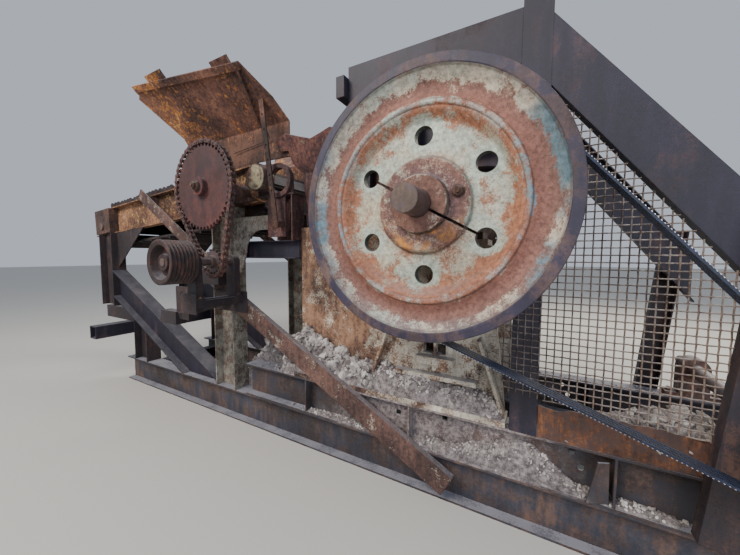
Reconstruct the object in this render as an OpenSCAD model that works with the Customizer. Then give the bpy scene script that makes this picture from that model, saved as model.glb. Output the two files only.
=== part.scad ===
// Jaw crushing plant: a jaw crusher with two flywheels, fed by an apron feeder,
// on a stack of rolled steel beams. X runs from the feeder to the drive, Y from
// the near side to the far side, Z up. The origin is on the ground under the
// middle of the crusher's shaft.

/* [Frame beams] */
// Depth of the rolled beams that make the base
beam_depth = 305; // [290:5:310]
// Flange width of the base beams
beam_flange = 165; // [150:5:180]
// Flange thickness of the base beams
flange_t = 15; // [10:1:20]
// Web thickness of the base beams
web_t = 10; // [8:1:16]
// Distance between the centres of the near and far base beams
beam_track = 1080; // [1060:10:1100]
// Distance from the shaft to the feeder end of the lower beams
lower_reach = 4250; // [4200:10:4400]
// Distance from the shaft to the feeder end of the upper sills
sill_reach = 1900; // [1750:10:1960]
// Distance from the shaft to the drive end of the frame
drive_reach = 2300; // [2150:10:2600]
// Width of the ties between the two sides
tie_w = 150; // [120:5:180]

/* [Crusher] */
// Height of the crusher's shaft above the ground
shaft_z = 1950; // [1930:5:1970]
// Width of the jaws
jaw_w = 914; // [890:2:920]
// Thickness of a side plate
side_t = 50; // [40:1:56]
// Distance from the shaft to the outside of the front wall
front_reach = 1270; // [1250:5:1300]
// Thickness of the front wall
front_t = 70; // [50:5:80]
// Height of the top of the side plates at the front
side_top = 1910; // [1880:5:1930]
// Thickness of the foot flanges under the side plates
foot_t = 40; // [30:1:50]
// Thickness of the jaw liners, without their ribs
liner_t = 45; // [40:1:55]
// Height of a liner's ribs
rib_h = 22; // [16:1:26]
// Number of ribs on a liner
rib_n = 11; // [8:1:12]
// Mouth of the jaws at the top, from rib to rib
gape = 560; // [530:5:580]
// Gap between the jaws at the bottom, from rib to rib
setting = 90; // [70:5:110]
// Thickness of the toggle plate
toggle_t = 60; // [50:1:66]

/* [Flywheels] */
// Outside diameter of a flywheel
wheel_d = 1520; // [1490:5:1540]
// Width of a flywheel's rim
wheel_w = 260; // [250:5:270]
// Distance between the outer faces of the two rims
wheel_track = 2040; // [2020:10:2080]
// Width of the flat ring at the edge of the rim
ring_w = 53; // [44:1:60]
// Depth of the web's face behind the rim's face
web_set = 105; // [95:1:115]
// Thickness of the web
wheel_web_t = 45; // [35:1:50]
// Number of round holes in the web
hole_n = 6; // [4:1:6]
// Diameter of the round holes in the web
hole_d = 106; // [80:2:116]
// Radius of the circle that the web's holes lie on
hole_pitch_r = 390; // [375:5:400]
// Diameter of the outer boss
boss_d = 524; // [480:2:540]
// Diameter of the inner boss
hub_d = 320; // [290:2:340]
// Width of the slit in the split hub
slit_w = 8; // [5:1:12]
// Diameter of the shaft in the wheels
shaft_d = 146; // [136:2:156]
// Diameter of the shaft in its bearings
journal_d = 180; // [170:2:190]
// Length of shaft that stands out in front of a wheel
stub_len = 190; // [140:5:240]

/* [Drive belts] */
// Number of grooves for belts
groove_n = 6; // [5:1:6]
// Number of belts that are left, in the grooves next to the crusher
belt_n = 4; // [3:1:5]
// Distance from one belt to the next
belt_pitch = 25; // [24:0.5:26]
// Width of a belt
belt_w = 16; // [13:0.5:17]
// Thickness of a belt
belt_t = 14; // [11:0.5:16]
// Radius of the belts' backs on the flywheel
belt_r = 705; // [695:1:712]
// Diameter of the drive sheave
sheave_d = 370; // [340:5:390]
// Distance from the crusher's shaft to the drive shaft along X
drive_x = 1620; // [1600:5:1680]
// Height of the drive shaft's centre
drive_z = 834; // [820:1:850]
// Diameter of the drive shaft
drive_shaft_d = 90; // [80:2:100]
// Diameter of the drive shaft's power end
drive_stub_d = 76; // [60:2:78]
// Length of the drive shaft's power end
drive_stub_len = 110; // [90:5:150]

/* [Guard frame] */
// Height of the top of the crown beam
crown_z = 3050; // [3000:10:3080]
// Depth of the crown beam
crown_depth = 300; // [270:5:310]
// Distance from the shaft to the apex post along X
apex_x = 460; // [445:5:480]
// Width of the apex post
apex_w = 150; // [130:5:160]
// Angle of the sloping beam below level
slope_deg = 52; // [51:0.5:53]
// Depth of the sloping beam
slope_depth = 230; // [210:5:240]
// Pitch of the bars in the guard's screen
mesh_pitch = 76; // [60:1:90]
// Thickness of the screen's bars
wire_d = 6; // [4:0.5:8]

/* [Feeder] */
// Distance from the shaft to the feeder's head shaft along X
head_x = 2020; // [2000:5:2040]
// Height of the feeder's head shaft
head_z = 2260; // [2240:5:2280]
// Distance from the head shaft to the tail shaft
feeder_len = 2850; // [2800:10:2880]
// Slope of the feeder up towards the crusher
feeder_deg = 4; // [3.5:0.25:4.5]
// Width over the feeder's side channels
feeder_w = 1100; // [1085:5:1110]
// Thickness of the feeder's side channels
plate_t = 14; // [10:1:18]
// Outside radius of the apron's chains round the shafts
apron_r = 240; // [232:1:246]
// Number of plates in the apron
apron_n = 34; // [30:1:36]
// Diameter of the head and tail shafts
head_shaft_d = 90; // [80:2:100]

/* [Chain drive] */
// Teeth on the large sprocket
big_teeth = 48; // [44:4:52]
// Teeth on the small sprocket
small_teeth = 16; // [12:4:20]
// Links in the chain
chain_links = 60; // [58:2:62]
// Pitch of the chain
chain_pitch = 50.8; // [48:0.4:52]
// Thickness of a sprocket
sprocket_t = 26; // [20:1:27]
// Distance from the near beams' outer edge to the chain's plane
chain_out = 298; // [290:2:310]
// Diameter of the jackshaft
jack_d = 60; // [50:2:70]
// Diameter of the drum sheave
drum_d = 345; // [320:5:380]
// Width of the drum sheave
drum_w = 215; // [180:5:230]

/* [Hidden] */

RUST = [0.42, 0.24, 0.17];
DARK = [0.26, 0.18, 0.18];
MINT = [0.68, 0.72, 0.62];
YELLOW = [0.62, 0.43, 0.18];
BLACK = [0.12, 0.13, 0.16];

seat_gap = 0.3;
run_gap = 0.08;
half_track = beam_track / 2;
sill_top = 2 * beam_depth;
near_edge = half_track + beam_flange / 2;
far_past = 4000;

// An outline in X and Z, given a thickness w from y0 towards the far side
module xz(y0, w) {
  translate([0, y0 + w, 0])
    rotate([90, 0, 0])
      linear_extrude(w)
        children();
}

// A section in Y and Z, drawn out along X
module along_x(x0, len) {
  translate([x0, 0, 0])
    rotate([90, 0, 90])
      linear_extrude(len)
        children();
}

module rod_y(r, y0, y1) {
  translate([0, y0, 0])
    rotate([-90, 0, 0])
      cylinder(r = r, h = y1 - y0, $fn = 64);
}

// A profile of radius and distance along Y, turned round the Y axis
module turned_y() {
  rotate([-90, 0, 0])
    rotate_extrude($fn = 128)
      children();
}

module box(x0, x1, y0, y1, z0, z1) {
  translate([x0, y0, z0])
    cube([x1 - x0, y1 - y0, z1 - z0]);
}

// The far side repeats the near side in the plane Y = 0
module both_sides() {
  children();
  mirror([0, 1, 0])
    children();
}

module i_section(depth, flange, web, thick) {
  translate([-flange / 2, 0])
    square([flange, thick]);
  translate([-flange / 2, depth - thick])
    square([flange, thick]);
  translate([-web / 2, 0])
    square([web, depth]);
}

// A channel's back lies on x = 0 and its flanges point to +x
module c_section(depth, flange, web, thick) {
  square([web, depth]);
  square([flange, thick]);
  translate([0, depth - thick])
    square([flange, thick]);
}

module base_section() {
  i_section(beam_depth, beam_flange, web_t, flange_t);
}

// Base frame

module lower_beams() {
  color(RUST)
    both_sides()
      translate([0, -half_track, 0])
        along_x(-lower_reach, lower_reach + drive_reach)
          base_section();
}

stiff_t = 12;
stiff_xs = [-1150, -200, 980];
key_holes = [[-321, 170], [30, 217]];
key_hole = 36;
round_holes = [[795, 231], [840, 150]];
cover_t = 12;
module upper_sills() {
  color(RUST)
    both_sides()
      translate([0, -half_track, beam_depth]) {
        difference() {
          along_x(-sill_reach, sill_reach + drive_reach)
            base_section();
          for (p = key_holes)
            box(p[0], p[0] + key_hole, -web_t, web_t, p[1], p[1] + key_hole);
          for (p = round_holes)
            translate([p[0], 0, p[1]])
              rod_y(key_hole / 2, -web_t, web_t);
        }
        for (x = stiff_xs)
          box(x, x + stiff_t, -beam_flange / 2, beam_flange / 2, 0, beam_depth);
        xz(-beam_flange / 2 - cover_t, cover_t + 1)
          polygon([[860, 3], [960, 41], [955, 265], [905, 252]]);
      }
}

// Low ties stand on the ground between the lower beams' webs, one tie joins the
// sills at the drive end, and a head tie runs from each middle post to the crusher
head_tie_y = 530;
head_tie_z = 1640;
head_tie_h = 160;
head_tie_w = 120;
tie_half = half_track - web_t / 2;
tie_h = 180;
tie_inset = 100;
low_tie_xs = [-lower_reach + tie_inset, -2300, -tie_w / 2, drive_reach - tie_inset - tie_w];
module tie_section() {
  i_section(tie_h, tie_w, web_t, flange_t);
}

module frame_ties() {
  color(DARK) {
    for (x = low_tie_xs)
      difference() {
        translate([x + tie_w / 2, 0, 0])
          rotate([0, 0, 90])
            along_x(-tie_half, 2 * tie_half)
              tie_section();
        both_sides()
          box(x - 1, x + tie_w + 1, -tie_half - 1, -half_track + beam_flange / 2, -1, flange_t);
      }
    translate([drive_reach - tie_inset - tie_w / 2, 0, beam_depth + flange_t])
      rotate([0, 0, 90])
        along_x(-tie_half, 2 * tie_half)
          tie_section();
    both_sides()
      translate([0, -head_tie_y, head_tie_z])
        along_x(mid_x + post_w / 2 + seat_gap, -front_reach - mid_x - post_w / 2 - 2 * seat_gap)
          i_section(head_tie_h, head_tie_w, web_t, web_t);
  }
}

// Posts, diagonals and braces under the feeder

post_w = 300;
post_flange = 165;
post_flange_t = 16;
mid_x = -2215;
leg_x = -3900;
corner_depth = 356;
tail_x = -head_x - feeder_len * cos(feeder_deg);
corner_x = tail_x + 123;
corner_foot = 960;
diag_deg = 26.5;
diag_depth = 330;
diag_lift = 830;
side_lo = 110;
side_hi = 250;

// Everything above the feeder channels' lower edge
module above_feeder() {
  translate([-head_x, 0, head_z])
    rotate([0, -feeder_deg, 0])
      translate([-far_past, -far_past, -side_lo])
        cube(2 * far_past);
}

// Everything above the diagonal beams' lower edge
module above_diagonal() {
  translate([leg_x - post_w / 2, 0, diag_lift])
    rotate([0, diag_deg, 0])
      translate([-far_past, -far_past, 0])
        cube(2 * far_past);
}

// A post's web lies along X, and its outer side is in line with the base beams'
module post(x, z, depth) {
  translate([x, -near_edge + post_flange / 2, z])
    linear_extrude(head_z)
      rotate(90)
        translate([0, -depth / 2])
          i_section(depth, post_flange, web_t, post_flange_t);
}

// A box beam on the leg post, over the cross beam, carries the corner post
shelf_w = 140;
shelf_x0 = corner_x - 40;
module leg_posts() {
  shelf_x1 = leg_x - post_w / 2;
  shelf_z0 = stub_z + stub_size;
  color(RUST)
    both_sides()
      difference() {
        union() {
          post(leg_x, beam_depth, post_w);
          box(shelf_x0, shelf_x1 + 1, -near_edge, -near_edge + shelf_w, shelf_z0, corner_foot);
        }
        box(shelf_x0 - 1, shelf_x1 - web_t, -near_edge + web_t, -near_edge + shelf_w - web_t,
            shelf_z0 + web_t, corner_foot - web_t);
        above_diagonal();
      }
}

// The knee plate is cut out as an arch of radius knee_r
knee_z = [1500, 2028];
knee_x1 = -1481;
knee_at = [-1660, 1690];
knee_r = 210;
knee_y = 606;
function knee_arch(n) = [for (i = [0:n])
  let (a = 180 - 90 * i / n)
    knee_at + knee_r * [cos(a), sin(a)]];
module mid_posts() {
  x0 = mid_x + post_w / 2 - 1;
  color(MINT)
    both_sides() {
      difference() {
        post(mid_x, beam_depth, post_w);
        above_feeder();
      }
      xz(-knee_y, cover_t)
        polygon(concat(
          [[x0, knee_z[0]], [knee_at[0] - knee_r - 70, knee_z[0]]], knee_arch(12),
          [[knee_x1, knee_at[1] + knee_r], [knee_x1, knee_z[1]], [x0, knee_z[1]]]));
    }
}

gusset_foot = 1496;
gusset_run = [830, 629];
module corner_posts() {
  foot = [corner_x + corner_depth / 2 - 1, gusset_foot];
  color(RUST)
    both_sides()
      difference() {
        union() {
          post(corner_x, corner_foot, corner_depth);
          xz(-near_edge + post_flange / 2 - cover_t / 2, cover_t)
            polygon([foot, foot + gusset_run, [foot[0], foot[1] + gusset_run[1]]]);
        }
        above_feeder();
      }
}

// A diagonal runs from the corner post's face down to the lower beam, and is cut
// off at the middle post's face
diag_x0 = corner_x + corner_depth / 2;
diag_x1 = mid_x - post_w / 2;
module diagonal_beams() {
  color(DARK)
    both_sides()
      intersection() {
        translate([leg_x - post_w / 2, -near_edge + post_flange / 2, diag_lift])
          rotate([0, diag_deg, 0])
            along_x(-far_past / 2, far_past)
              i_section(diag_depth, post_flange, web_t, post_flange_t);
        box(diag_x0, diag_x1, -near_edge, 0, beam_depth, far_past);
      }
}

brace_depth = 160;
brace_flange = 50;
brace_top = [-2228, 1365];
brace_foot = [100, 135];
// A flat bar braces each middle post from the feeder's side, over a spacer block
bar_top = [-3725, 2410];
bar_foot = [mid_x - post_w / 2 + 25, 1540];
bar_w = 120;
bar_t = 16;
bar_block = [[-3690, 2290], [-3590, 2372]];
module channel_braces() {
  run = brace_foot - brace_top;
  fall = bar_foot - bar_top;
  color(RUST)
    both_sides() {
      translate([brace_top[0], -near_edge - brace_flange, brace_top[1]])
        rotate([0, -atan2(run[1], run[0]), 0])
          translate([0, 0, -brace_depth / 2])
            along_x(0, norm(run))
              c_section(brace_depth, brace_flange, web_t, web_t);
      translate([bar_top[0], 0, bar_top[1]])
        rotate([0, -atan2(fall[1], fall[0]), 0])
          box(0, norm(fall), -near_edge - bar_t, -near_edge, -bar_w / 2, bar_w / 2);
      box(bar_block[0][0], bar_block[1][0], -near_edge - 1, -channel_back - seat_gap,
          bar_block[0][1], bar_block[1][1]);
    }
}

stub_size = 150;
stub_out = 400;
stub_z = 650;
module cross_box_beam() {
  x1 = leg_x - post_w / 2;
  reach = near_edge + stub_out;
  color(DARK)
    difference() {
      box(x1 - stub_size, x1, -reach, reach, stub_z, stub_z + stub_size);
      box(x1 - stub_size + web_t, x1 - web_t, -reach - 1, reach + 1,
          stub_z + web_t, stub_z + stub_size - web_t);
    }
}

// Crusher

half_jaw = jaw_w / 2;
side_out = half_jaw + side_t;
housing_r = 165;
housing_w = 180;
housing_out = half_jaw + housing_w;
seat_z = shaft_z - housing_r - 15;
pad_half = 300;
pad_t = 36;
foot_x = 440;
slot_x = [-125, -35];
slot_w = 70;
slot_z = 975;
slot_h = 75;
// Bars under the slots hold the toggle block's wedges: left, right, low, high, depth
wedge_bars = [[-168, 100, 905, 960, 60], [-50, 50, 862, 906, 40], [-330, 250, 800, 834, 55]];
toggle_x = [-130, 90];
toggle_z = [1040, 1250];
rear_top_x = 310;
rear_mid = [350, 1300];
rear_foot_x = 430;
slope_in_x = 440;

module side_outline() {
  polygon([
    [-front_reach, sill_top], [-front_reach, side_top], [-slope_in_x, side_top],
    [-pad_half, seat_z], [rear_top_x, seat_z], rear_mid, [rear_foot_x, sill_top],
  ]);
}

// A rib is a bar across the side plate's face, from its foot to its head
rib_out = 70;
rib_t = 22;
side_ribs = [
  [[-560, 650], [-398, 1110]], [[420, 650], [265, 1130]], [[-620, 1500], [-330, 1500]],
  [[0, 1300], [0, 1740]],
];
module side_rib(foot, head) {
  run = head - foot;
  translate(foot)
    rotate(atan2(run[1], run[0]))
      translate([0, -rib_t / 2])
        square([norm(run), rib_t]);
}

module crusher_side() {
  difference() {
    union() {
      xz(-side_out, side_t)
        side_outline();
      for (rib = side_ribs)
        xz(-side_out - rib_out, rib_out + 1)
          side_rib(rib[0], rib[1]);
      for (b = wedge_bars)
        box(b[0], b[1], -side_out - b[4], -side_out + 1, b[2], b[3]);
      box(-front_reach, foot_x, -near_edge, -half_jaw, sill_top, sill_top + foot_t);
      box(-pad_half, rear_top_x, -housing_out, -half_jaw, seat_z - pad_t, seat_z);
    }
    for (x = slot_x)
      box(x, x + slot_w, -side_out - rib_out - 1, -half_jaw + 1, slot_z, slot_z + slot_h);
  }
}

module crusher_side_near() {
  color(MINT)
    crusher_side();
}

module crusher_side_far() {
  color(MINT)
    mirror([0, 1, 0])
      crusher_side();
}

wall_foot = 720;
wall_ribs = [wall_foot, 1100, 1500, side_top - rib_t];
module front_wall() {
  x0 = -front_reach;
  color(RUST) {
    box(x0, x0 + front_t, -half_jaw, half_jaw, wall_foot, side_top);
    for (z = wall_ribs)
      box(x0 - rib_out, x0 + 1, -half_jaw, half_jaw, z, z + rib_t);
  }
}

seat_r = toggle_t / 2 + seat_gap;
block_seat = [toggle_x[0] + 5, toggle_z[0] + 100];
module toggle_block() {
  color(RUST)
    difference() {
      xz(-half_jaw, jaw_w)
        difference() {
          translate([toggle_x[0], toggle_z[0]])
            square([toggle_x[1] - toggle_x[0], toggle_z[1] - toggle_z[0]]);
          translate(block_seat)
            circle(seat_r, $fn = 48);
        }
    }
}

// Both jaws are ribbed from top to bottom; the swing jaw leans back from its foot
jaw_top = side_top - 20;
jaw_foot = 860;
rib_pitch = jaw_w / rib_n;
fixed_face = -front_reach + front_t;
mouth_x = fixed_face + liner_t + rib_h;
lean = atan2(gape - setting, jaw_top - jaw_foot);
jaw_len = (jaw_top - jaw_foot) / cos(lean);
jaw_gap_y = 10;

// A ribbed plate, with its back on x = 0 and its ribs towards +x
module ribbed_plate(h, w) {
  n = floor(w / rib_pitch);
  linear_extrude(h) {
    translate([0, -w / 2])
      square([liner_t, w]);
    for (i = [0:n - 1])
      translate([liner_t, (i - n / 2 + 0.5) * rib_pitch])
        polygon([[-1, -rib_pitch * 0.4], [rib_h, -rib_pitch * 0.2],
                 [rib_h, rib_pitch * 0.2], [-1, rib_pitch * 0.4]]);
  }
}

module fixed_jaw_liner() {
  color(DARK)
    translate([fixed_face, 0, jaw_foot])
      ribbed_plate(jaw_top - jaw_foot, jaw_w);
}

swing_w = jaw_w - 2 * jaw_gap_y;
liner_back = liner_t + rib_h;
swing_at = [mouth_x + setting, jaw_foot];
module at_swing_face() {
  translate([swing_at[0], 0, swing_at[1]])
    rotate([0, lean, 0])
      children();
}

module swing_jaw_liner() {
  color(DARK)
    at_swing_face()
      translate([liner_back, 0, 0])
        rotate([0, 0, 180])
          ribbed_plate(jaw_len, swing_w);
}

// The pitman's foot stands behind the swing jaw's, and its toggle seat is placed
// from that foot
pitman_r = 245;
pitman_bore_r = 118;
pitman_deep = 190;
pitman_heel = 260;
up = [sin(lean), cos(lean)];
back = [cos(lean), -sin(lean)];
foot = swing_at + back * (liner_back + seat_gap);
pitman_seat = foot + back * 278 + up * 311;
module pitman_outline() {
  head = foot + up * jaw_len;
  difference() {
    union() {
      translate([0, shaft_z])
        circle(pitman_r, $fn = 96);
      polygon([
        foot, foot + back * pitman_deep, foot + back * pitman_deep + up * pitman_heel,
        [pitman_r * 0.75, shaft_z - pitman_r * 0.5], [-pitman_r * 0.4, shaft_z + pitman_r * 0.8],
        head,
      ]);
      intersection() {
        translate(pitman_seat - [40, 0])
          circle(80, $fn = 48);
        translate(pitman_seat - [200, 100])
          square(200);
      }
    }
    translate([0, shaft_z])
      circle(pitman_bore_r, $fn = 96);
    translate(pitman_seat)
      circle(seat_r, $fn = 48);
  }
}

module pitman() {
  color(RUST)
    xz(-swing_w / 2, swing_w)
      pitman_outline();
}

// The toggle plate's round ends sit in the pitman and in the toggle block
toggle_half = swing_w / 2 - 30;
module toggle_plate() {
  run = block_seat - pitman_seat;
  color(DARK)
    xz(-toggle_half, 2 * toggle_half) {
      translate(pitman_seat)
        circle(toggle_t / 2, $fn = 48);
      translate(block_seat)
        circle(toggle_t / 2, $fn = 48);
      translate(pitman_seat)
        rotate(atan2(run[1], run[0]))
          translate([0, -toggle_t / 2 * 0.8])
            square([norm(run), toggle_t * 0.8]);
    }
}

module at_shaft() {
  translate([0, 0, shaft_z])
    children();
}

housing_base_h = 45;
bolt_d = 40;
module shaft_bearings() {
  color(RUST)
    both_sides()
      difference() {
        union() {
          at_shaft()
            rod_y(housing_r, -housing_out, -half_jaw);
          box(-housing_r, housing_r, -housing_out, -half_jaw, seat_z, shaft_z);
          box(-pad_half + 20, pad_half - 20, -housing_out, -half_jaw, seat_z, seat_z + housing_base_h);
        }
        at_shaft()
          rod_y(journal_d / 2 + run_gap, -housing_out - 1, -half_jaw + 1);
      }
}

throw_d = 220;
wheel_back = wheel_track / 2 - wheel_w;
journal_end = (housing_out + wheel_back) / 2;
module eccentric_shaft() {
  tip = wheel_track / 2 + stub_len;
  color(DARK)
    at_shaft() {
      rod_y(throw_d / 2, -half_jaw + 8, half_jaw - 8);
      rod_y(journal_d / 2, -journal_end, journal_end);
      rod_y(shaft_d / 2, -tip, tip);
    }
}

// Flywheels

wheel_r = wheel_d / 2;
ring_in = wheel_r - ring_w;
groove_h0 = 66;
groove_w = belt_w + 4;
groove_floor_w = belt_w + 1;
groove_floor = belt_r - belt_t - 2;
land_r = belt_r - 5;
bead_r = 540;
cove_out = ring_in - 6;
cove_in = bead_r + 18;
web_r = bead_r - 28;
rim_in = 635;
boss_set = 62;
first_belt = groove_h0 + belt_pitch / 2 + 4;

// From the inside out: the bead is half a round at the hollow's inner edge
function bead(n) = [for (i = [0:n])
  let (a = 180 - 180 * i / n)
    [bead_r + 16 * cos(a), 46 - 20 * sin(a)]];

// The hollow between the bead and the ring dips as half a sine wave
function cove(n) = [for (i = [0:n])
  let (t = i / n)
    [cove_in + (cove_out - cove_in) * t, 46 - 34 * t + 46 * sin(180 * t)]];

// Outline of a grooved rim, from the ring's back edge to the rim's back face
function grooves(i = 0) = i >= groove_n ? [] : concat(
  let (h = first_belt + i * belt_pitch)
    [[land_r, h - groove_w / 2], [groove_floor, h - groove_floor_w / 2],
     [groove_floor, h + groove_floor_w / 2], [land_r, h + groove_w / 2]],
  grooves(i + 1));

module wheel_profile(grooved) {
  rim = grooved ? concat([[wheel_r, groove_h0 - 8], [land_r, groove_h0]], grooves(),
                         [[land_r, wheel_w]])
                : [[wheel_r, wheel_w]];
  polygon(concat(
    [[wheel_r, 0]], rim,
    [[rim_in, wheel_w], [rim_in - 12, web_set + wheel_web_t + 12],
     [rim_in - 40, web_set + wheel_web_t], [hub_d / 2 + 40, web_set + wheel_web_t],
     [hub_d / 2, web_set + wheel_web_t + 30], [hub_d / 2, wheel_w],
     [shaft_d / 2 + run_gap, wheel_w], [shaft_d / 2 + run_gap, 0],
     [hub_d / 2 - 8, 0], [hub_d / 2, 8], [hub_d / 2 + 6, boss_set - 10],
     [hub_d / 2 + 16, boss_set], [boss_d / 2 - 12, boss_set], [boss_d / 2, boss_set + 10],
     [boss_d / 2 + 8, web_set], [web_r, web_set - 6], [bead_r - 18, web_set - 22]],
    bead(8), cove(16), [[ring_in, 0]]));
}

lug_deg = 16;
lug_r = 212;
first_hole = 31;
module flywheel(grooved) {
  difference() {
    union() {
      turned_y()
        wheel_profile(grooved);
      rotate([0, -lug_deg, 0])
        box(lug_r - 34, lug_r + 34, boss_set - 40, boss_set + 2, -28, 28);
    }
    for (i = [0:hole_n - 1])
      rotate([0, -first_hole - i * 360 / hole_n, 0])
        translate([hole_pitch_r, 0, 0])
          rod_y(hole_d / 2, 0, wheel_w);
    rotate([0, -first_hole - 2 * 360 / hole_n, 0])
      box(-hole_pitch_r, hole_pitch_r, -1, wheel_w + 1, -slit_w / 2, slit_w / 2);
  }
}

module flywheel_near() {
  color(MINT)
    translate([0, -wheel_track / 2, shaft_z])
      flywheel(true);
}

module flywheel_far() {
  color(MINT)
    translate([0, wheel_track / 2, shaft_z])
      mirror([0, 1, 0])
        flywheel(false);
}

// Belt drive

drive_at = [drive_x, drive_z];
sheave_r = sheave_d / 2;
belt_lift = belt_r - land_r;

// The outline of a belt round the flywheel at the origin and the sheave: the long
// way round the wheel, then round the sheave
wheel_steps = 60;
sheave_steps = 20;
function belt_outline(r1, r2, at) =
  let (phi = atan2(at[1], at[0]), a = acos((r1 - r2) / norm(at)))
    concat(
      [for (i = [0:wheel_steps])
        let (t = phi + a + (360 - 2 * a) * i / wheel_steps) r1 * [cos(t), sin(t)]],
      [for (i = [0:sheave_steps])
        let (t = phi - a + 2 * a * i / sheave_steps) at + r2 * [cos(t), sin(t)]]);

module drive_belts() {
  at = drive_at - [0, shaft_z];
  r2 = sheave_r + belt_lift;
  color(BLACK)
    for (i = [groove_n - belt_n:groove_n - 1])
      translate([0, 0, shaft_z])
        xz(-wheel_track / 2 + first_belt + i * belt_pitch - belt_w / 2, belt_w)
          difference() {
            polygon(belt_outline(belt_r, r2, at));
            polygon(belt_outline(belt_r - belt_t, r2 - belt_t, at));
          }
}

sheave_margin = 14;
sheave_len = groove_n * belt_pitch + 2 * sheave_margin;
function sheave_grooves(i = 0) = i >= groove_n ? [] : concat(
  let (h = sheave_margin + (i + 0.5) * belt_pitch, r = sheave_r + belt_lift - belt_t - 2)
    [[sheave_r, h - groove_w / 2], [r, h - groove_floor_w / 2],
     [r, h + groove_floor_w / 2], [sheave_r, h + groove_w / 2]],
  sheave_grooves(i + 1));

module drive_sheave() {
  bore = drive_shaft_d / 2 + run_gap;
  color(DARK)
    translate([drive_x, -wheel_track / 2 + first_belt - belt_pitch / 2 - sheave_margin, drive_z])
      turned_y()
        polygon(concat(
          [[sheave_r, 0]], sheave_grooves(),
          [[sheave_r, sheave_len], [sheave_r - 40, sheave_len], [sheave_r - 45, sheave_len / 2 + 15],
           [bore + 35, sheave_len / 2 + 15], [bore + 30, sheave_len], [bore, sheave_len], [bore, 0],
           [bore + 30, 0], [bore + 35, sheave_len / 2 - 15], [sheave_r - 45, sheave_len / 2 - 15],
           [sheave_r - 40, 0]]));
}

drive_end = 760;
module at_drive() {
  translate([drive_x, 0, drive_z])
    children();
}

module drive_shaft() {
  color(RUST)
    at_drive() {
      rod_y(drive_shaft_d / 2, -wheel_track / 2 + 30, drive_end - drive_stub_len);
      rod_y(drive_stub_d / 2, drive_end - drive_stub_len - 1, drive_end);
    }
}

pillow_r = 85;
pillow_w = 110;
module pillow_block(r, w, bore_r, drop, base_half, base_h) {
  difference() {
    union() {
      rod_y(r, -w / 2, w / 2);
      box(-r, r, -w / 2, w / 2, -drop, 0);
      box(-base_half, base_half, -w / 2, w / 2, -drop, -drop + base_h);
    }
    rod_y(bore_r, -w / 2 - 1, w / 2 + 1);
  }
}

module drive_bearings() {
  color(RUST)
    both_sides()
      translate([drive_x, -half_track, drive_z])
        pillow_block(pillow_r, pillow_w, drive_shaft_d / 2 + run_gap, drive_z - sill_top, 160, 35);
}

// Guard frame over the flywheels

guard_y = near_edge;
guard_flange = 82;
guard_web = 9;
crown_x0 = -700;
apex_rise = 80;
slope_x1 = 1600;
module apex_posts() {
  color(DARK)
    both_sides()
      translate([apex_x, -guard_y, sill_top])
        linear_extrude(crown_z + apex_rise - sill_top)
          rotate(90)
            mirror([0, 1])
              c_section(apex_w, guard_flange, guard_web, guard_web);
}

module crown_beams() {
  color(DARK)
    both_sides()
      translate([0, -guard_y, crown_z - crown_depth])
        along_x(crown_x0, apex_x - crown_x0)
          c_section(crown_depth, guard_flange, guard_web, guard_web);
}

chute_t = 12;
crown_post_x = -660;
crown_post_w = 100;
module crown_posts() {
  color(DARK)
    both_sides()
      box(crown_post_x, crown_post_x + crown_post_w, -guard_y + guard_flange,
          -half_jaw - chute_t, side_top, crown_z);
}

module sloping_beams() {
  x0 = apex_x + apex_w;
  color(DARK)
    both_sides()
      intersection() {
        translate([x0, -guard_y, crown_z - apex_rise])
          rotate([0, slope_deg, 0])
            translate([0, 0, -slope_depth])
              along_x(-far_past / 2, far_past)
                c_section(slope_depth, guard_flange, guard_web, guard_web);
        box(x0, slope_x1, -guard_y, 0, 0, far_past);
      }
}

rear_foot = [1285, 330];
rear_lean = 5.5;
rear_w = 140;
rear_depth = 75;
rear_len = 1560;
module rear_posts() {
  color(RUST)
    both_sides()
      translate([rear_foot[0], -guard_y - rear_depth, rear_foot[1]])
        rotate([0, rear_lean, 0])
          linear_extrude(rear_len)
            rotate(90)
              mirror([0, 1])
                c_section(rear_w, rear_depth, guard_web, guard_web);
}

// Ties run across from the near guard frame to the far one
crown_tie = [230, 80];
module guard_ties() {
  y = guard_y - guard_web;
  color(DARK) {
    box(crown_x0 - 70, crown_x0, -guard_y - 60, guard_y + 60,
        crown_z - crown_tie[0], crown_z - crown_tie[1]);
    box(apex_x + guard_web, apex_x + guard_web + 80, -y, y, crown_z - 60, crown_z + 20);
  }
}

mesh_x = [400, 1300];
mesh_low = [850, 610];
mesh_y = guard_y + wire_d;
module mesh_outline() {
  top = crown_z - apex_rise - slope_depth / cos(slope_deg) - 20;
  fall = tan(slope_deg);
  x0 = apex_x + apex_w;
  polygon([
    [mesh_x[0], mesh_low[0]], [mesh_x[1], mesh_low[1]],
    [mesh_x[1], top - fall * (mesh_x[1] - x0)], [x0, top], [mesh_x[0], top],
  ]);
}

module guard_mesh() {
  xs = [mesh_x[0]:mesh_pitch:mesh_x[1]];
  zs = [mesh_low[1] + mesh_pitch / 2:mesh_pitch:crown_z];
  color(DARK)
    xz(-mesh_y, wire_d)
      intersection() {
        mesh_outline();
        union() {
          for (x = xs)
            translate([x, 0])
              square([wire_d, crown_z]);
          for (z = zs)
            translate([0, z])
              square([mesh_x[1], wire_d]);
        }
      }
}

// Feeder, in its own slope: x runs up towards the crusher from the head shaft

module at_feeder() {
  translate([-head_x, 0, head_z])
    rotate([0, -feeder_deg, 0])
      children();
}

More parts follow.
